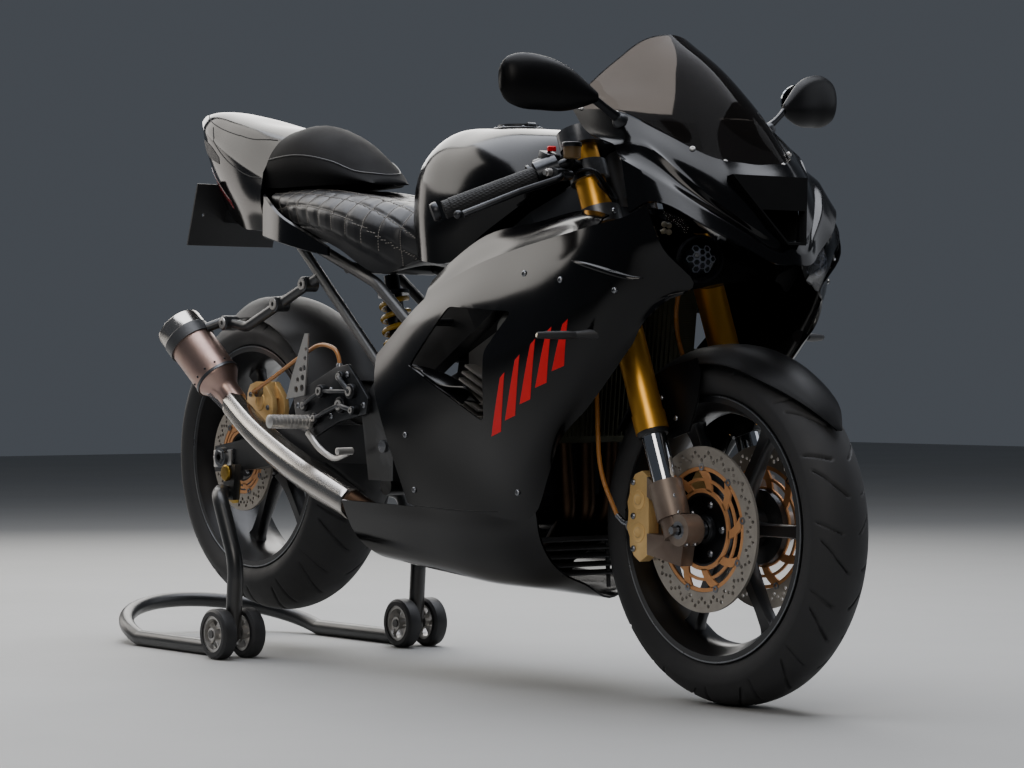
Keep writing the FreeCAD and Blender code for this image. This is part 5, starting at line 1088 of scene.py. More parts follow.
@dataclass
class ChainDrive:
    """Roller chain and toothed sprocket."""

    y: float = 100.0
    sprocket_r: float = 88.0
    drive_r: float = 34.0
    roller_r: float = 5.0
    drive: tuple[float, float] = (-770.0, 425.0)
    pitch: float = 15.875
    teeth: int = 38

    def _line(self) -> Line:
        """Points of the chain's line around both sprockets."""
        start = at(self.drive[0], self.y, self.drive[1])
        end = Vector((REAR_AXLE.x, self.y * MM, REAR_AXLE.z))
        big, small = self.sprocket_r + self.roller_r, self.drive_r + self.roller_r
        tilt = asin((big - small) / ((end - start).length / MM))
        along = (end - start).normalized()
        up = Vector((along.z, 0.0, -along.x))
        path = []
        for centre, r, first, wrap, steps in ((end, big, -(pi / 2 + tilt), pi + 2 * tilt, 40),
                (start, small, pi / 2 + tilt, pi - 2 * tilt, 16)):
            for k in range(steps + 1):
                w = first + wrap * k / steps
                path.append(centre + (along * cos(w) + up * sin(w)) * (r * MM))
        return path

    def _spots(self) -> Line:
        """Centres of the rollers, evenly along the line."""
        path = self._line()
        lengths = [(b - a).length for a, b in zip(path, path[1:] + path[:1])]
        links = round(sum(lengths) / (self.pitch * MM) / 2) * 2
        spots = []
        travelled, run, step = 0.0, 0, sum(lengths) / links
        for k in range(links):
            while travelled + lengths[run] < k * step - 1e-9:
                travelled += lengths[run]
                run += 1
            share = (k * step - travelled) / lengths[run]
            spots.append(path[run].lerp(path[(run + 1) % len(path)], share))
        return spots

    def build(self) -> None:
        """Makes the chain's links and the sprocket."""
        spots, chain = self._spots(), Shape()
        waist = ((0.0, 1.0), (0.5, 0.72), (1.0, 1.0))
        for k, (a, b) in enumerate(zip(spots, spots[1:] + spots[:1])):
            ahead = (b - a).normalized()
            up, nose = Vector((-ahead.z, 0.0, ahead.x)), ahead * (3.6 * MM)
            outline = [a - nose] + [a.lerp(b, s) + up * (4.1 * h * MM) for s, h in waist]
            outline += [b + nose] + [a.lerp(b, s) - up * (4.1 * h * MM) for s, h in reversed(waist)]
            for side in SIDES:
                low = side * (5.6 if k % 2 else 4.2)
                chain.rings([[p + mm(0, low + d, 0) for p in outline] for d in (-0.7, 0.7)])
            chain.lathe([(-6.3, 2.4), (6.3, 2.4)], a, Y_AXIS, 8)
        made = chain.piece("chain_links", CHAIN_STEEL)
        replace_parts(made, "chain")
        middle = Vector((REAR_AXLE.x, self.y * MM, REAR_AXLE.z))
        tooth = ((0.0, -3.5), (0.3, -2.5), (0.45, 2.2), (0.6, 2.2), (0.75, -2.5))
        outline = [around(tau * (k + share) / self.teeth, self.sprocket_r + high) for k in range(self.teeth)
            for share, high in tooth]
        disc = Shape().rings([[middle + p + mm(0, y, 0) for p in outline] for y in (-2.2, 2.2)])
        drills = Shape()
        for turn in spaced(10):
            drills.lathe([(-9, 7), (9, 7)], middle + around(turn, 71), Y_AXIS, 16)
        drills.lathe([(-9, 17), (9, 17)], middle, Y_AXIS, 24)
        made = disc.piece("sprocket_plate", SPROCKET_STEEL, "rear_wheel", cutter=drills)
        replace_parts(made, "rear_sprocket")
        hub = Shape().lathe([(-13, 17), (-13, 56), (-4, 56), (-3, 54), (-3, 17)], middle, Y_AXIS, 48,
            loop=True)
        for turn in spaced(5, 0.5):
            hub.screw(middle + around(turn, 47) + mm(0, 2, 0), Y_AXIS, 7)
        hub.piece("sprocket_carrier", BLACK_ALLOY, "rear_wheel")


# Front end

@dataclass
class FrontEnd:
    """Calipers, mudguard, fork dressings and what is on the handlebars."""

    disc_y: float = FRONT_DISC_Y
    tyre_r: float = FRONT_TYRE_R

    def _calipers(self) -> None:
        """Makes the four-piston calipers over the rear edges of the discs, with their bolts."""
        shape, bolts = Shape(), Shape()
        for side in SIDES:
            y, out = side * self.disc_y, Y_AXIS * side
            for low, high in ((7.8, 30.5), (-30.5, -7.8)):
                shape.plate(CALIPER_OUTLINE, y + low, y + high)
            shape.plate([(-142, 250), (-142, 388), (-160, 370), (-164, 318), (-158, 262)], y - 9, y + 9)
            for z in (346, 290):
                for d in SIDES:
                    shape.lathe([(0, 17.5), (2.2, 16.5), (2.6, 9), (1.4, 8), (1.4, 0)],
                        at(-133, y + d * 30, z), Y_AXIS * d, 24)
            for z in (262, 318, 376):
                bolts.screw(at(-146, y + side * 31, z), out, 5.5)
            for z in (270, 369):
                bolts.lathe([(0, 6.5), (8, 6.5), (8, 3), (4, 3)], at(-100, side * 92, z),
                    Vector((1.0, 0.0, 0.2)), 6)
        made = shape.piece("caliper_bodies", CALIPER_GOLD, "steering", bevel=2.2, angle=60)
        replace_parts(made, "front_calipers")
        bolts.piece("caliper_bolts", ZINC_STEEL, "steering")

    def _mudguard(self) -> None:
        """Makes the mudguard over the front tyre with its side wings."""
        rows = []
        for degrees, half in ((33, 6), (42, 34), (58, 62), (80, 72), (105, 74), (130, 72), (148, 60)):
            row = []
            for share in (-1.0, -0.85, -0.5, 0.0, 0.5, 0.85, 1.0):
                r = self.tyre_r + 13 - (abs(share) ** 2.5) * 34 * (half / 74.0) ** 2
                row.append(at(0, share * half, self.tyre_r) + around(radians(degrees), r))
            rows.append(row)
        shape = Shape().shell(smooth_grid(rows, 4, 5, (1, 5)), 3.2, FRONT_AXLE)
        screws = Shape()
        for side in SIDES:
            shape.plate(WING_OUTLINE, side * 70, side * 74)
            for x, z in ((-62, 486), (-93, 478), (-100, 520)):
                screws.screw(at(x, side * 74.5, z), Y_AXIS * side, 5.0)
        made = shape.piece("front_mudguard_shell", SATIN_PANEL, "steering", bevel=0.8)
        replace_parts(made, "front_mudguard")
        screws.piece("mudguard_screws", ZINC_STEEL, "steering")

    def _fork(self) -> None:
        """Dresses the fork legs with seals, caps, pinch bolts and hose ends."""
        seals, caps, bolts = Shape(), Shape(), Shape()
        for side in SIDES:
            seals.lathe([(0, 21.6), (0, 26), (3, 27.6), (8, 27.6), (8, 21.6)], fork_point(176, side), FORK_UP,
                40, loop=True)
            caps.lathe([(0, 16.4), (4, 16.4), (5, 15), (5, 9), (10, 8), (14, 8), (14, 3), (11, 2.5), (11, 0)],
                fork_point(741, side), FORK_UP, 24)
            for t in (30, 60):
                bolts.screw(fork_point(t, side, 25) + mm(0, side * 8, 0), FORK_FORWARD, 5)
            for z in (-1, 1):
                bolts.lathe([(0, 4.5), (34, 4.5)], FRONT_AXLE + mm(14, side * (FORK_HALF + z * 9), -26),
                    FORK_UP, 12)
            for t in (575, 728):
                bolts.screw(fork_point(t, side, 41), FORK_FORWARD, 5)
            bolts.lathe([(0, 4), (0, 7), (15, 7), (15, 4)], FRONT_AXLE + mm(0, side * 123, 0), Y_AXIS * side,
                6)
            bolts.lathe([(-8, 9.5), (9, 9.5)], at(-166, side * 84, 300), Y_AXIS, 16)
            bolts.sweep(placed([((-168, 85, 300), (-184, 90, 306), (-196, 94, 318))], side)[0], 5.2, 12)
        seals.piece("fork_seals", RUBBER_HOSE, "steering")
        caps.piece("fork_caps", FORK_GOLD, "steering")
        bolts.piece("fork_bolts", ZINC_STEEL, "steering")
        stem = Shape().lathe([(0, 10), (0, 19), (7, 19), (9, 17), (9, 10)],
            fork_point(744, 1, -16) - mm(0, FORK_HALF, 0), FORK_UP, 6, loop=True)
        stem.piece("stem_nut", BLACK_ALLOY, "steering", bevel=0.8)

    def _controls(self) -> None:
        """Dresses the handlebars with reservoirs, switches, lever guards and cables."""
        black, steel, amber, cups = Shape(), Shape(), Shape(), Shape()
        for side in SIDES:
            inner, outer = at(-298, side * 205, 903), at(-380, side * 345, 842)
            ahead, out = (outer - inner).normalized(), Y_AXIS * side
            post = inner - ahead * (26 * MM) + mm(30, 0, -4)
            black.lathe([(0, 11), (0, 16.4), (6, 16.8), (12, 15), (12, 0)], outer - ahead * (3 * MM), ahead,
                24)
            black.lathe([(-3, 19.5), (-3, 20.5), (2, 20.5), (2, 17.2)], inner, ahead, 28, loop=True)
            black.lathe([(0, 22), (2, 25), (16, 25), (18, 22)], inner - ahead * (30 * MM), ahead, 24)
            black.block(inner - ahead * (34 * MM) + mm(0, 0, 20), (26, 26, 20), 20)
            black.block(post, (44, 22, 20), 14)
            steel.screw(post + mm(0, 0, 11), Z_AXIS, 5)
            if side < 0:
                cup = post + mm(20, 22, 24)
                cups.lathe([(0, 13), (2, 15), (20, 15.5), (22, 15.5)], cup, Z_AXIS, 28)
                black.lathe([(21, 15.5), (21, 17.5), (28, 17.5), (29, 15), (29, 0)], cup, Z_AXIS, 28)
                black.sweep(curve([cup, cup + mm(-12, 4, -16), post], 5), 4, 8)
                amber.lathe([(0, 8), (7, 8), (9, 6)], inner - ahead * (40 * MM) + mm(0, 0, 30), Z_AXIS, 12)
            path = [post, post + mm(-6, -side * 40, 4), fork_point(600, side, 34) - mm(0, side * 10, 0),
                fork_point(566, side, 22) - mm(0, side * 26, 0)]
            black.sweep(curve(path, 8), 3.6, 8)
            black.ball(outer - ahead * (8 * MM) + mm(49.4, 0, -10.4), 8.0, ahead)
            for k in range(3):
                steel.screw(inner - ahead * ((12 + 11 * k) * MM) + mm(17, 0, 17), Vector((0.7, 0.0, 0.7)),
                    3.6)
            steel.lathe([(0, 7), (9, 7), (10, 5), (14, 5)], post + mm(4, side * 12, 0), out, 14)
            black.lathe([(0, 9), (22, 9), (24, 7), (24, 0)], post + mm(16, 0, -4), -out, 16)
            for k in range(2):
                run = [inner - ahead * (38 * MM) + mm(0, 0, -18 - 7 * k),
                    fork_point(648, side, 38 + 5 * k) + mm(0, side * 22, 0),
                    fork_point(620, side, 36 + 4 * k) + mm(0, side * (4 - 4 * k), 0),
                    fork_point(590, side, 28) - mm(0, side * (20 + 3 * k), 0)]
                black.sweep(curve(run, 8), 2.8, 8)
        cups.piece("brake_fluid_cup", FLUID_CUP, "steering")
        black.piece("bar_controls", BLACK_ALLOY, "steering", bevel=0.8)
        steel.piece("bar_ends", SILVER_ALLOY, "steering")
        amber.piece("stop_button", RED_FILM, "steering")

    def build(self) -> None:
        """Makes the pieces of the front end."""
        self._calipers()
        self._mudguard()
        self._fork()
        self._controls()


# Bodywork

@dataclass
class Bodywork:
    """Fairings, nose, screen, lamps, tank and tail."""

    panel: float = 4.0
    screen: float = 3.0
    filler: tuple[float, float] = (-600.0, 1012.0)
    lens_ball: float = 31.0

    def _panel(self, side: int) -> Object:
        """Makes one side panel with its vent and returns it."""
        vent = Shape().plate(rounded(VENT_OUTLINE, 14), side * 150, side * 300)
        shape = Shape().shell(smooth_grid(placed(FAIRING_ROWS, side), 6, 6), self.panel, at(-300, 0, 560))
        made = shape.piece("side_panel_" + SIDES[side], GLOSS_PANEL, cutter=vent)
        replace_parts(made, "side_fairing_" + SIDES[side])
        return made

    def _panel_details(self, side: int, skin: Object) -> None:
        """Makes the fins across a vent, the cover behind it, the panel's screws, shut line and spear."""
        name, out = SIDES[side], Y_AXIS * side
        for label, table, thick, bevel in (("vent_fin_", FIN_ROWS, 3.0, 0.8),
                ("vent_sill_", SILL_ROWS, 2.0, 0.0)):
            fin = Shape().shell(smooth_grid(placed(table, side), 4, 8), thick, at(-560, 0, 300))
            fin.piece(label + name, GLOSS_PANEL, bevel=bevel)
        ribs, screws = Shape(), Shape()
        for k in range(6):
            ribs.block(at(-578 + 9 * k, side * 128, 500 + k * 12), (84, 34, 5), 24)
        ribs.plate([(-590, 462), (-500, 470), (-470, 600), (-500, 640), (-590, 600)], side * 100, side * 122)
        ribs.lathe([(0, 26), (6, 26), (9, 22), (9, 0)], at(-470, side * 122, 640), out, 28)
        ribs.piece("ribbed_cover_" + name, SILVER_ALLOY, bevel=0.8)
        for place in on_skin(skin, placed([PANEL_SCREWS], side)[0], 0.2):
            screws.screw(place, out, 5.5)
        screws.piece("panel_screws_" + name, ZINC_STEEL)
        lower = [p + mm(0, 0, 2) for p in placed([SEAM], side)[0]]
        Shape().sweep(curve(lower, 8), 1.0, 6).piece("panel_gaps_" + name, SHADOW_GAP)
        spear = curve(placed([SPEAR_LINE], side)[0], 5)
        radii = [0.5 + 5.6 * sin(pi * k / 20) ** 0.7 for k in range(len(spear))]
        edge = Shape().sweep(on_skin(skin, spear, 0.6), radii, 10, flat=0.6)
        edge.piece("panel_spear_" + name, GLOSS_PANEL)

    def _stripes(self, side: int, skin: Object) -> None:
        """Makes the plain slanted red stripes on a side panel."""
        shape = Shape()
        for k, tall in enumerate((112, 114, 112, 104, 88)):
            x, z = -377 + 47 * k, 452 + 28.5 * k
            lean = 0.27 * tall
            shape.join(film(skin, [at(x, 0, z), at(x + 31, 0, z + 9), at(x + 27 + lean, 0, z + tall),
                at(x + 13 + lean, 0, z + tall - 9)], side))
        shape.piece("red_stripes_" + SIDES[side], RED_FILM)

    def _inner_panel(self, side: int) -> None:
        """Makes the panel that closes the cockpit between the side panel and the frame."""
        made = Shape().shell(smooth_grid(placed(LEDGE_ROWS, side), 6, 6), 3.0, at(-300, 0, 500))
        made.piece("inner_panel_" + SIDES[side], GLOSS_PANEL)

    def _nose(self) -> None:
        """Makes the nose cowl and the screen with their screws."""
        grid = smooth_grid([mirror_row(row) for row in NOSE_ROWS], 7, 7, (), (2, 4))
        mouth = [at(60, y, z) for y, z in MOUTH_OUTLINE]
        cut = Shape().rings([mouth, [p + mm(160, 0, 0) for p in mouth]])
        nose = Shape().shell(grid, self.panel, at(-120, 0, 860)).piece("nose_cowl", GLOSS_PANEL, cutter=cut)
        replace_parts(nose, "nose_fairing")
        grid = smooth_grid([mirror_row(row) for row in SCREEN_ROWS], 7, 8)
        screen = Shape().shell(grid, self.screen, at(-200, 0, 950)).piece("double_bubble_screen",
            SCREEN_ACRYLIC)
        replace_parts(screen, "windscreen")
        screws = Shape()
        for side in SIDES:
            for place in on_skin(nose, placed([SCREEN_SCREWS], side)[0], 0.6):
                screws.screw(place, nose.closest_point_on_mesh(place)[2], 5.0)
        screws.piece("screen_screws", SILVER_ALLOY)

    def _lamp(self, side: int) -> None:
        """Makes one lamp: smoked lens, bowl in painted shade, projector with its pattern, and side lamps."""
        name = SIDES[side]
        grid = smooth_grid([[p - mm(1.5, side, 0) for p in row] for row in placed(LAMP_ROWS, side)], 8, 8)
        lens = Shape().shell(grid, 2.5, at(-40, 0, 760)).piece("lamp_lens_" + name, LENS_POLYCARBONATE)
        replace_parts(lens, "headlights")
        back = [[p - mm(60, side * 16, 0) for p in row] for row in grid[::4]]
        # The bowl behind the lens is painted shade: the near-black, nearly unreflective duct finish.
        Shape().shell(back, 2.0, at(-200, 0, 760)).piece("lamp_bowl_" + name, PAINTED_SHADE_PLASTIC)
        middle, ahead = at(56, side * 126, 751), Vector((0.9, side * 0.42, 0.0)).normalized()
        ring = Shape().lathe([(0, 30), (0, 38), (14, 40), (16, 36), (6, 31)], middle, ahead, 40, loop=True)
        ring.piece("projector_ring_" + name, MATT_PLASTIC)
        glass = Shape().ball(middle - ahead * (4 * MM), self.lens_ball, ahead, 0.5)
        glass.piece("projector_lens_" + name, DISPLAY_GLASS)
        self._pattern(middle, ahead).piece("projector_pattern_" + name, LAMP_PATTERN, angle=20)
        beads = Shape()
        for dx, dy, dz in ((0, 0, 0), (-3, 8, 2), (2, 1.6, -11), (-2, 8.8, -9)):
            beads.ball(at(40 + dx, side * (176 + dy), 806 + dz), 5.2, ahead, 0.6)
        beads.piece("side_lamp_beads_" + name, AMBER_LAMP)

    def _pattern(self, middle: Vector, ahead: Vector, size: float = 6.4, reach: float = 22.0) -> Shape:
        """Honeycomb etched on the projector's lens.

        Args:
            middle: centre of the projector.
            ahead: direction that it faces.
            size: radius of a cell in millimetres.
            reach: distance of the last cells from the middle.

        Returns:
            The raised edges of the cells.
        """
        across, net = ahead.cross(Z_AXIS).normalized(), Shape()
        for q in range(-3, 4):
            for r in range(-3, 4):
                u, v = size * 1.5 * q, size * sqrt(3) * (r + q / 2.0)
                if hypot(u, v) > reach:
                    continue
                rings = []
                for share, lift in ((0.98, 0.2), (0.76, 0.2), (0.76, 1.2), (0.98, 1.2)):
                    cell = [(u + size * share * cos(w), v + size * share * sin(w)) for w in spaced(6)]
                    rings.append([middle + across * (a * MM) + Z_AXIS * (b * MM) + ahead * (
                        (sqrt(self.lens_ball ** 2 - a * a - b * b) - 4 + lift) * MM) for a, b in cell])
                net.rings(rings, loop=True)
        return net

    def _mirror(self, side: int) -> None:
        """Makes a mirror with its stalk and glass."""
        name = SIDES[side]
        rows = []
        for y, x, z, high, deep in MIRROR_ROWS:
            rows.append([at(x + deep * cos(w) * (0.55 if cos(w) < 0 else 1.0), side * y, z + high * sin(w))
                for w in spaced(12)])
        grid = smooth_grid(rows, 3, 4, closed=True)
        Shape().rings(grid).piece("mirror_head_" + name, MIRROR_SHELL, angle=60)
        line = curve(placed([((-101, 169, 992), (-104, 190, 1006), (-112, 222, 1029))], side)[0], 6)
        arm = Shape().sweep(line, [11, 10, 9, 8.5, 8, 7.6, 7.4, 7.2, 7.2, 7.4, 7.6, 8, 8], 14, flat=0.7)
        arm.lathe([(-6, 14), (0, 15), (8, 13), (14, 9)], at(-99, side * 164, 986),
            Vector((0.1, side * 0.8, 0.6)), 24)
        stalk = arm.piece("mirror_arm_" + name, BLACK_ALLOY)
        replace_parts(stalk, "mirrors")
        face = [at(-163 - 1.2 * cos(w), side * (308 + 54 * cos(w)), 1048 + 34 * sin(w)) for w in spaced(24)]
        Shape().rings([face, [p + mm(3, 0, 0) for p in face]]).piece("mirror_glass_" + name, MIRROR_GLASS)

    def _tank(self) -> None:
        """Makes the tank with its filler ring and the screws round the lid."""
        x, top = self.filler
        grid = smooth_grid([section(*row) for row in TANK_ROWS], 5, 6, (4, 6), closed=True)
        pit = Shape().lathe([(-40, 30), (40, 30)], at(x, 0, top), Z_AXIS, 40)
        tank = Shape().rings(grid).piece("tank_shell", GLOSS_PANEL, angle=50, cutter=pit)
        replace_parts(tank, "fuel_tank")
        ring = Shape().lathe([(-6, 30), (-6, 47), (1.8, 47), (3, 45), (3, 39.2), (-1, 39.2), (-1, 30)],
            at(x, 0, top + 1), Z_AXIS, 56, loop=True)
        ring.piece("filler_ring", BLACK_ALLOY)
        screws = Shape()
        for w in spaced(7, 0.5):
            screws.screw(at(x + 43 * cos(w), 43 * sin(w), top + 4), Z_AXIS, 2.6)
        screws.piece("filler_screws", ZINC_STEEL)
        key = Shape().lathe([(0, 9), (2.2, 9), (2.2, 5), (1, 5), (1, 0)], at(x - 6, 0, top + 9.3), Z_AXIS, 20)
        key.piece("filler_lock", SILVER_ALLOY, "cap_lid")

    def _tail(self) -> None:
        """Makes the tail with its shut lines, strips and lamp recess."""
        grid = smooth_grid([section(*row) for row in TAIL_ROWS], 5, 7, (2, 4, 6, 8), closed=True)
        shape, gaps = Shape().rings(grid), Shape()
        for side in SIDES:
            strips = [[at(x, side * (y - inset), z + high * share) for inset, share in ((5, -1), (0, -0.9),
                (0, 0.9), (5, 1))] for x, y, z, high in SEAT_STRIPS]
            shape.rings(smooth_grid(strips, 1, 5))
        tail = shape.piece("tail_shell", GLOSS_PANEL, angle=42)
        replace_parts(tail, "tail_fairing")
        for side in SIDES:
            for line in placed(TAIL_SEAMS, side):
                gaps.sweep(on_skin(tail, curve(line, 12), 0.1), 1.1, 6)
        gaps.piece("tail_gaps", SHADOW_GAP)
        for name, finish, table in (("tail_inset", MATT_PLASTIC, TAIL_INSET),
                ("tail_side_lamps", RED_LENS, TAIL_LAMP)):
            made = Shape()
            for side in SIDES:
                grid = smooth_grid(placed(table, side), 6, 6)
                made.shell([on_skin(tail, row, 1.0) for row in grid], 0.8, at(-1540, 0, 1000))
            made.piece(name, finish)

    def _belly(self) -> None:
        """Makes the belly pan and the grille at its front."""
        rows = []
        for row in placed(BELLY_ROWS):
            left = [p - mm(0, 0, 0.3) for p in row]
            rows.append(left + [Vector((p.x, -p.y, p.z)) for p in reversed(left[:-1])])
        belly = Shape().shell(smooth_grid(rows, 5, 6), self.panel, at(-560, 0, 330))
        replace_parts(belly.piece("belly_shell", GLOSS_PANEL), "belly_pan")
        grille = Shape()
        for k, half in enumerate((113, 126, 145, 160, 171)):
            grille.block(at(-335 - k, 0, 209.5 + 15 * k), (19, 2 * half, 3), 18)
        grille.rod(at(-335, 0, 182), at(-341, 0, 272), 4)
        grille.piece("belly_grille", MATT_PLASTIC)

    def _indicators(self) -> None:
        """Makes the stalks of the indicators with their lamps."""
        lamps, tips = Shape(), Shape()
        for side in SIDES:
            lamps.sweep([at(-84, side * 226, 628), at(-98, side * 250, 627), at(-106, side * 266, 626)],
                [11, 7, 6], 14)
            line = [at(-100 - 0.45 * k, side * (262 + k), 626) for k in (0, 8, 24, 44, 60)]
            lamps.sweep(line, [6.4, 8.2, 8.4, 7.6, 6.2], 16, flat=0.72)
            tips.sweep([at(-127, side * 320, 626), at(-128, side * 323, 626)], [5.4, 3.8], 16, flat=0.72)
        made = lamps.piece("indicator_lamps", MATT_PLASTIC, angle=50)
        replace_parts(made, "indicators")
        tips.piece("indicator_tips", AMBER_LAMP)

    def build(self) -> None:
        """Makes every piece of bodywork."""
        for side in SIDES:
            skin = self._panel(side)
            self._panel_details(side, skin)
            self._stripes(side, skin)
            self._inner_panel(side)
            self._lamp(side)
            self._mirror(side)
        self._belly()
        self._nose()
        self._tank()
        self._tail()
        self._indicators()


@dataclass
class Seat:
    """Quilted leather seat and the padded hump behind it."""

    square: float = 42.0
    groove: float = 3.2
    groove_half: float = 4.2
    quilt_edge: float = 190.0
    seam_edge: float = 185.0
    stitch: float = 7.0

    def _dent(self, value: float) -> float:
        """Depth of a sewn channel at a distance along the quilting."""
        away = abs((value + self.square / 2) % self.square - self.square / 2)
        return exp(-(away / self.groove_half) ** 2)

    def _quilt(self, grid: Grid) -> tuple[Grid, list[list[float]]]:
        """Sinks the sewn channels into the seat.

        Args:
            grid: rings of points around the plain seat.

        Returns:
            The moved rings, and for each point its way along the ring from the middle of the top.
        """
        rings, ways = [], []
        for ring in grid:
            centre = sum(ring, Vector()) / len(ring)
            marks = [0.0]
            for a, b in zip(ring, ring[1:]):
                marks.append(marks[-1] + (b - a).length / MM)
            marks = [min(mark, marks[-1] - mark) for mark in marks]
            moved = []
            for point, way in zip(ring, marks):
                sunk = max(self._dent((point.x - grid[0][0].x) / MM), self._dent(way - self.square / 2))
                deep = self.groove * sunk if way < self.quilt_edge else 0.0
                moved.append(point + (centre - point).normalized() * (deep * MM))
            rings.append(moved)
            ways.append(marks)
        return rings, ways

    def _seams(self, rings: Grid, ways: list[list[float]]) -> list[tuple[Vector, Vector]]:
        """Short straight runs along every sewn channel of the seat."""
        found = []
        start, half = rings[0][0].x, self.square / 2
        for i in range(len(rings) - 1):
            crossing = self._tile((rings[i][0].x - start) / MM) != self._tile(
                (rings[i + 1][0].x - start) / MM)
            steps = range(len(rings[0]) - 1)
            found += [(rings[i][j], rings[i][j + 1]) for j in steps if crossing and ways[i][
                j] < self.seam_edge]
            for j in steps:
                here, there = ways[i][j] + half, ways[i][j + 1] + half
                if self._tile(here) != self._tile(there) and here < self.quilt_edge + 10:
                    found.append((rings[i][j], rings[i + 1][j]))
        return found

    def _tile(self, way: float) -> int:
        """Number of the quilting's square at a distance."""
        return floor(way / self.square)

    def build(self) -> None:
        """Makes the seat, its stitches and the hump."""
        grid = smooth_grid([section(*row) for row in SEAT_ROWS], 16, 20, (3, 5), closed=True)
        rings, ways = self._quilt(grid)
        seat = Shape().rings(rings).piece("quilted_seat", SEAT_LEATHER, angle=70)
        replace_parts(seat, "rider_seat")
        stitches = Shape()
        for start, end in self._seams(rings, ways):
            count = max(1, int((end - start).length / MM / self.stitch))
            for k in range(count):
                ends = [start.lerp(end, (k + share) / count) for share in (0.18, 0.82)]
                stitches.sweep(on_skin(seat, ends, 0.5), 0.75, 5)
        stitches.piece("seat_stitches", THREAD)
        grid = smooth_grid([section(*row) for row in PAD_ROWS], 6, 8, (3, 5), closed=True)
        pad = Shape().rings(grid).piece("padded_hump", PAD_VINYL, angle=60)
        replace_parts(pad, "seat_pad")
        seam = [at(-1284, -112, 992), at(-1200, -98, 996), at(-1110, -76, 980), at(-1050, -50, 958)]
        seam += [at(-1030, 0, 950)] + [Vector((p.x, -p.y, p.z)) for p in reversed(seam)]
        welt = Shape().sweep(on_skin(pad, curve(seam, 10), 0.2), 1.6, 8)
        welt.piece("hump_welt", SEAT_LEATHER)


# Running gear

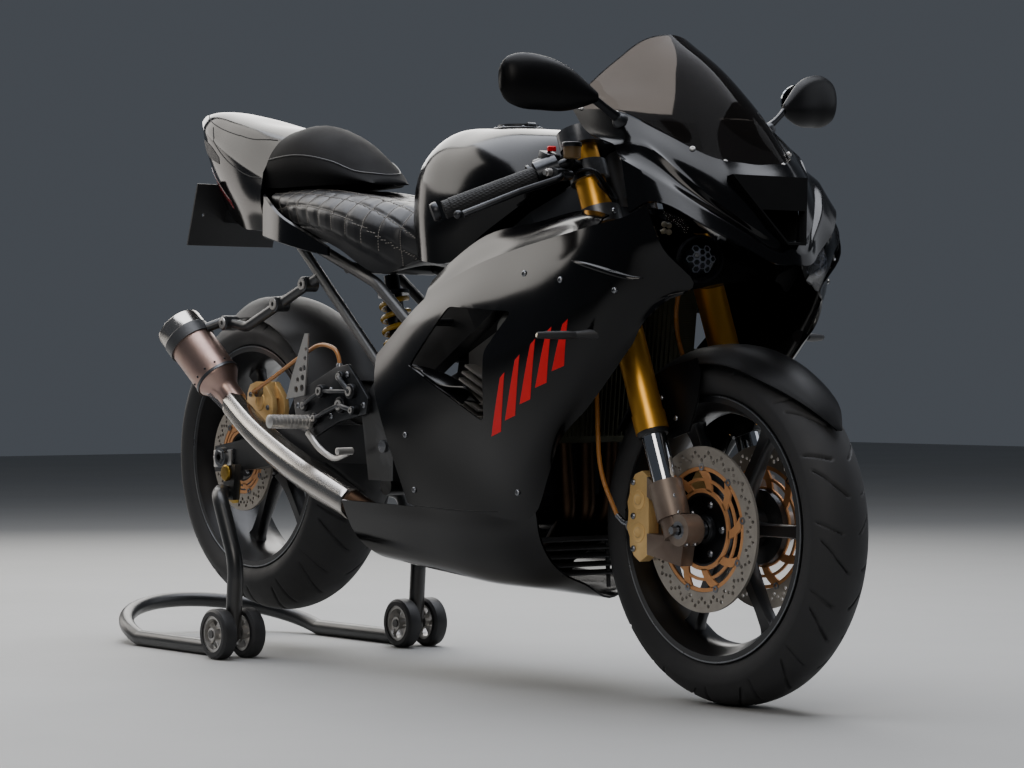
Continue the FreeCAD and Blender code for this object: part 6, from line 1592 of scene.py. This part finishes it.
@dataclass
class RunningGear:
    """Engine covers, shock, exhaust, foot controls and what hangs on them."""

    silencer_start: Place = (-1352.0, -160.0, 522.0)
    silencer_axis: Place = (-0.66, -0.22, 0.72)
    shock_ends: tuple[Place, ...] = ((-954.0, 0.0, 468.0), (-1013.0, 0.0, 767.0))
    plate_y: float = 150.0
    caliper_y: float = -97.0

    def _silencer(self) -> None:
        """Makes the silencer with its bands, tip and core."""
        start, axis = at(*self.silencer_start), Vector(self.silencer_axis).normalized()
        can = [(-26, 25), (6, 25.5), (14, 29), (36, 44), (42, 46), (60, 46.4), (150, 46.4), (166, 46),
            (166, 20)]
        made = Shape().lathe(can, start, axis, 64).piece("silencer_can", TITANIUM, angle=30)
        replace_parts(made, "silencer")
        tip = [(160, 47), (162, 48.4), (186, 48.4), (190, 47.2), (192, 44.8), (189, 42), (176, 36), (150, 32),
            (150, 31), (176, 33)]
        Shape().lathe(tip, start, axis, 64, loop=True).piece("silencer_tip", LINK_STEEL)
        bands, springs = Shape(), Shape()
        for span in ((39, 45), (158, 163)):
            bands.tube(span, (46, 48), start, axis, 64)
        bands.lathe([(150, 31.5), (150, 0)], start, axis, 32)
        side = axis.orthogonal().normalized()
        outs = [side * cos(w) + axis.cross(side) * sin(w) for w in spaced(12) + [2.2, 4.0]]
        for out in outs[:12]:
            bands.ball(start + axis * (54 * MM) + out * (46.2 * MM), 2.4, out, 0.5)
        bands.piece("silencer_bands", BLACK_ALLOY)
        for out in outs[12:]:
            foot, head = start - axis * (30 * MM) + out * (33 * MM), start + axis * (14 * MM) + out * (
                41 * MM)
            springs.sweep(coil(foot, head, out, axis.cross(out), 3.4, 12, 8), 0.9, 5)
        springs.piece("exhaust_springs", ZINC_STEEL)

    def _hangers(self) -> None:
        """Makes the bosses that the silencer hangs on, and the link pipe's skin."""
        bosses, rings = Shape(), Shape()
        for place in placed([((-1150, -101, 738), (-1232, -115, 700), (-1380, -141, 664))])[0]:
            bosses.lathe([(-15, 15), (15, 15), (17, 12), (17, 0)], place, -Y_AXIS, 24)
            rings.lathe([(16, 8), (16, 12), (19, 11), (19, 5), (16, 5)], place, -Y_AXIS, 24, loop=True)
        bosses.piece("hanger_bosses", BLACK_ALLOY)
        rings.piece("hanger_rings", SILVER_ALLOY)
        rows = [[at(x, y + wide * s, z + high * d) for s, d in ((-1, -0.45), (-0.45, -1), (0.45, -1),
            (1, -0.45), (1, 0.45), (0.45, 1), (-0.45, 1), (-1, 0.45))] for x, y, z, wide, high in LINK_ROWS]
        made = Shape().rings(smooth_grid(rows, 1, 12, closed=True)).piece("link_pipe_skin", LINK_STEEL,
            bevel=3.0)
        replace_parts(made, "link_pipe")

    def _shock(self) -> None:
        """Makes the shock's coil spring, damper and reservoir."""
        low, high = (at(*end) for end in self.shock_ends)
        axis = (high - low).normalized()
        long = (high - low).length / MM
        side = axis.orthogonal().normalized()
        path = coil(low + axis * (66 * MM), low + axis * ((long - 62) * MM), side, axis.cross(side), 26, 7,
            24)
        made = Shape().sweep(path, 5.2, 10).piece("shock_spring", SPRING_YELLOW)
        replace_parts(made, "rear_shock")
        body = Shape().lathe([(0, 14), (58, 14), (58, 31), (64, 31), (64, 17), (long - 54, 17),
            (long - 54, 31), (long - 46, 31), (long - 44, 15), (long - 14, 15)], low, axis, 36)
        body.piece("shock_damper", BLACK_ALLOY)

    def _foot_controls(self) -> None:
        """Makes the foot rest plates, drilled guards, knurled pegs and pedals."""
        plates, bright, bolts, guards, drills = Shape(), Shape(), Shape(), Shape(), Shape()
        for side in SIDES:
            y, out, peg = side * self.plate_y, Y_AXIS * side, Vector((0.0, side, 0.02))
            plates.plate(FOOT_PLATE, y, y + side * 8)
            plates.lathe([(0, 14), (13, 14)], at(-882, side * 138, 503), out, 20)
            plates.lathe([(0, 12), (60, 12), (64, 15), (75, 15)], at(-985, side * 139, 470), Z_AXIS, 20)
            guards.plate(HEEL_GUARD, y + side * 8, y + side * 11)
            for x, z, r in HEEL_DRILLS:
                drills.lathe([(-30, r), (30, r)], at(x, y + side * 9, z), Y_AXIS, 14)
            bright.lathe([(12, 9), (12, 15), (20, 15), (20, 13), (104, 13), (105, 11), (105, 0)],
                at(-1055, y, 468), peg, 18)
            for k in range(9):
                bright.lathe([(24 + 8.6 * k, 13.8), (28 + 8.6 * k, 13.8)], at(-1055, y, 468), peg, 18)
            pedal = placed([((-1055, 166, 448), (-1000, 170, 414), (-955, 170, 400), (-908, 170, 411))],
                side)[0]
            bright.sweep(curve(pedal, 6), 6.2, 10, flat=0.7)
            bright.lathe([(0, 7), (34, 7), (35, 5)], at(-900, y + side * 18, 415), out, 16)
            for x, z in ((-875, 502), (-1100, 500), (-985, 480), (-985, 530), (-1055, 462), (-930, 560)):
                bolts.screw(at(x, y + side * 8, z), out, 6)
            for x, z, r, t in FOOT_BOSSES:
                plates.lathe([(0, r), (t, r), (t + 2, r - 2), (t + 2, 0)], at(x, y + side * 7, z), out, 24)
                bright.lathe([(0, r * 0.62), (2.4, r * 0.62), (2.4, r * 0.34), (0, r * 0.34)],
                    at(x, y + side * (9 + t), z), out, 20, loop=True)
            for (ax, az), (bx, bz), r in FOOT_RODS:
                plates.sweep([at(ax, y + side * 16, az), at((ax + bx) / 2, y + side * 18, (az + bz) / 2),
                    at(bx, y + side * 16, bz)], r, 10)
        made = plates.piece("foot_rest_plates", BLACK_ALLOY, bevel=1.2)
        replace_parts(made, "rearsets")
        guards.piece("heel_guards", SILVER_ALLOY, cutter=drills)
        bright.piece("foot_pegs", SILVER_ALLOY)
        bolts.piece("foot_control_bolts", ZINC_STEEL)

    def _rear_brake(self) -> None:
        """Makes the rear caliper with its bolts."""
        y, shape, bolts = self.caliper_y, Shape(), Shape()
        for low, high in ((-20, -8), (8, 20)):
            shape.plate(REAR_CALIPER, y + low, y + high)
        shape.plate([(-1276, 512), (-1292, 545), (-1340, 540), (-1346, 512), (-1312, 524)], y - 9, y + 9)
        shape.lathe([(0, 19), (3, 18), (3.4, 10), (2, 9), (2, 0)], at(-1304, y - 19, 506), -Y_AXIS, 28)
        made = shape.piece("rear_caliper_body", CALIPER_GOLD, bevel=1.6, angle=60)
        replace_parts(made, "rear_caliper")
        for x, z in ((-1274, 494), (-1338, 520), (-1296, 534)):
            bolts.screw(at(x, y - 20, z), -Y_AXIS, 5.5)
        bolts.lathe([(-6, 9), (10, 9)], at(-1300, -118, 524), -Y_AXIS, 16)
        bolts.lathe([(0, 8), (8, 8), (9, 6.4), (34, 6.2), (36, 5)], at(-985, -139, 546), Z_AXIS, 16)
        bolts.piece("rear_caliper_bolts", ZINC_STEEL)

    def _hugger(self) -> None:
        """Makes the mudguard over the front of the rear tyre."""
        rows = [[REAR_AXLE + around(radians(degrees), REAR_TYRE_R + 16 - share ** 2 * 46) + mm(
            0, share * 98, 0) for share in (-1.0, -0.8, -0.4, 0.0, 0.4, 0.8, 1.0)] for degrees in (
            28, 45, 62, 80, 98)]
        shape = Shape().shell(smooth_grid(rows, 4, 5), 3.2, REAR_AXLE)
        for side in SIDES:
            shape.plate([(-1163, 452), (-1134, 452), (-1128, 532), (-1158, 532)], side * 110, side * 114)
            shape.plate([(-1159, 526), (-1127, 526), (-1126, 533), (-1160, 533)], side * 92, side * 114)
        made = shape.piece("hugger_shell", MATT_PLASTIC, bevel=0.8)
        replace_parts(made, "rear_hugger")

    def _engine(self) -> None:
        """Dresses the engine with covers, fins and bolts, and the radiator with its guard and hoses."""
        covers, fins, bolts, slats, hoses = Shape(), Shape(), Shape(), Shape(), Shape()
        for profile, place, sides in ENGINE_COVERS:
            covers.lathe(profile, at(*place), Y_AXIS * copysign(1.0, place[1]), sides)
        for k in range(7):
            for y in (-104, 104):
                fins.block(at(-436, y, 530 + k * 10), (62, 14, 3.2), 18)
        for w in spaced(9):
            for x, y, z, r, out in ((-590, -158, 390, 76, -Y_AXIS), (-490, 161, 382, 56, Y_AXIS)):
                bolts.screw(at(x, y, z) + around(w, r), out, 5)
        for k in range(29):
            slats.block(at(-303, -140 + 10 * k, 585), (9, 2.2, 268), 5.7)
        for line in (placed([((-330, 128, 700), (-372, 130, 690), (-420, 112, 650), (-446, 86, 640))], side)[
                0] for side in SIDES):
            hoses.sweep(curve(line, 6), 15, 16)
        covers.piece("engine_covers", ENGINE_PAINT, angle=40)
        fins.piece("engine_ribs", SILVER_ALLOY, bevel=0.8)
        bolts.piece("engine_bolts", ZINC_STEEL)
        slats.piece("radiator_guard", RADIATOR_FINS)
        hoses.piece("radiator_hoses", RUBBER_HOSE)

    def _rear_axle(self) -> None:
        """Makes the silver chain adjusters and axle nuts."""
        shape, nuts = Shape(), Shape()
        for side in SIDES:
            y = side * 142.2
            shape.plate([(-1434, 372), (-1368, 376), (-1368, 408), (-1434, 406)], y, y + side * 3)
            nuts.lathe([(0, 15), (9, 15), (12, 13), (12, 7), (9, 6), (9, 0)],
                Vector((REAR_AXLE.x, side * 145 * MM, REAR_AXLE.z)), Y_AXIS * side, 6)
            nuts.lathe([(0, 4), (12, 4), (12, 7), (18, 7)], at(-1436, side * 128, 390),
                Vector((-1.0, 0.0, 0.0)), 6)
        shape.piece("axle_adjusters", SILVER_ALLOY, bevel=0.8)
        nuts.piece("axle_nuts", BLACK_ALLOY)

    def build(self) -> None:
        """Makes the pieces of the running gear."""
        for step in (self._silencer, self._hangers, self._shock, self._foot_controls, self._rear_brake,
                self._hugger, self._engine, self._rear_axle):
            step()


@dataclass
class PaddockStand:
    """Dressings of the stand: spoked wheels, hooks and spool heads."""

    axle_x: float = -1240.0
    half: float = 221.0
    wheel_r: float = 50.0
    wheel_w: float = 32.0
    gap: float = 34.0

    def _pair(self, side: int) -> None:
        """Makes one pair of wheels."""
        treads, hubs = Shape(), Shape()
        r, w = self.wheel_r, self.wheel_w / 2.0
        tread = both_ways([(w, r - 14), (w, r - 6), (w - 4, r - 1), (w - 8, r)])
        for way in SIDES:
            middle = at(self.axle_x, side * self.half + way * (self.gap + self.wheel_w) / 2.0, r)
            treads.lathe(tread, middle, Y_AXIS, 48, loop=True)
            hubs.tube((-w * 0.8, w * 0.8), (30, 36.2), middle, Y_AXIS, 48)
            hubs.tube((-w - 0.5, w + 0.5), (8.2, 13), middle, Y_AXIS, 24)
            for turn in spaced(5):
                hubs.sweep([middle + around(turn, reach) for reach in (11, 22, 32)], [9, 6, 8], 8, flat=0.55)
        name, body = SIDES[side], "stand_pair_" + SIDES[side]
        made = treads.piece("stand_tread_" + name, STAND_TYRE, body)
        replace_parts(made, "stand_wheels_" + name)
        hubs.piece("stand_hub_" + name, SILVER_ALLOY, body)

    def build(self) -> None:
        """Makes the wheels and the hooks."""
        hooks = Shape()
        for side in SIDES:
            self._pair(side)
            hooks.plate(HOOK_OUTLINE, side * 146, side * 148.6)
            hooks.lathe([(0, 4), (0, 16), (5, 17), (8, 14), (8, 5)], at(-1347, side * 166.3, 362),
                Y_AXIS * side, 24)
        hooks.piece("stand_hooks", BRASS, bevel=0.6)


@dataclass
class Studio:
    """Pale floor, soft lights and the camera."""

    camera_place: Place = (3925.8, -3451.4, 562.4)
    yaw: float = 142.793
    pitch: float = -0.199
    lens_mm: float = 108.16
    sensor_mm: float = 36.0
    floor_reach: float = 14.0
    aim: Place = (-650.0, 0.0, 500.0)

    def _light(self, name: str, place: Place, size: float, power: float, tint: str) -> None:
        """Adds a soft square light that faces the bike."""
        data = bpy.data.lights.new(name, "AREA")
        data.size, data.energy, data.color = size, power, linear(tint)[:3]
        made = add_object(name, data)
        made.location = at(*place)
        made.rotation_euler = (at(*self.aim) - at(*place)).to_track_quat("-Z", "Y").to_euler()

    def _floor(self) -> None:
        """Lays the pale floor."""
        mesh, reach = bpy.data.meshes.new("floor"), self.floor_reach
        corners = [(-reach, -reach, 0), (reach, -reach, 0), (reach, reach, 0), (-reach, reach, 0)]
        mesh.from_pydata(corners, [], [(0, 1, 2, 3)])
        made = add_object("floor", mesh)
        mesh.materials.append(FLOOR_PAINT.material())

    def _camera(self) -> None:
        """Sets the camera where the photograph was taken from."""
        data = bpy.data.cameras.new("photo_camera")
        data.lens, data.sensor_width, data.clip_end = self.lens_mm, self.sensor_mm, 100.0
        yaw, pitch = radians(self.yaw), radians(self.pitch)
        ahead = Vector((cos(yaw) * cos(pitch), sin(yaw) * cos(pitch), sin(pitch)))
        right = ahead.cross(Z_AXIS).normalized()
        turn = Matrix((right, right.cross(ahead), -ahead)).transposed().to_4x4()
        camera = add_object("photo_camera", data)
        camera.matrix_world = Matrix.Translation(at(*self.camera_place)) @ turn
        bpy.context.scene.camera = camera

    def build(self) -> None:
        """Makes the floor, the lights, the world and the camera."""
        self._floor()
        for row in LIGHTS:
            self._light(*row)
        world = bpy.data.worlds.new("studio")
        world.use_nodes = True
        sky = world.node_tree.nodes["Background"].inputs
        sky["Color"].default_value, sky["Strength"].default_value = linear("#9aa2ae"), 0.2
        bpy.context.scene.world = world
        self._camera()


def dress_carried_nodes() -> None:
    """Gives each CAD node that still shows its finish."""
    for finish, nodes in CARRIED_NODES.items():
        for name in nodes:
            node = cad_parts[name]
            if not node.material_slots:
                node.data.materials.append(finish.material())
            for slot in node.material_slots:
                slot.material = finish.material()


def main() -> None:
    """Builds every sub-assembly in order."""
    logging.basicConfig(level=logging.INFO, format="%(message)s")
    dress_carried_nodes()
    for part in (Studio(), Wheels(), ChainDrive(), FrontEnd(), Bodywork(), Seat(), RunningGear(),
            PaddockStand()):
        LOG.info("building %s", type(part).__name__)
        part.build()


if __name__ == "__main__":
    main()
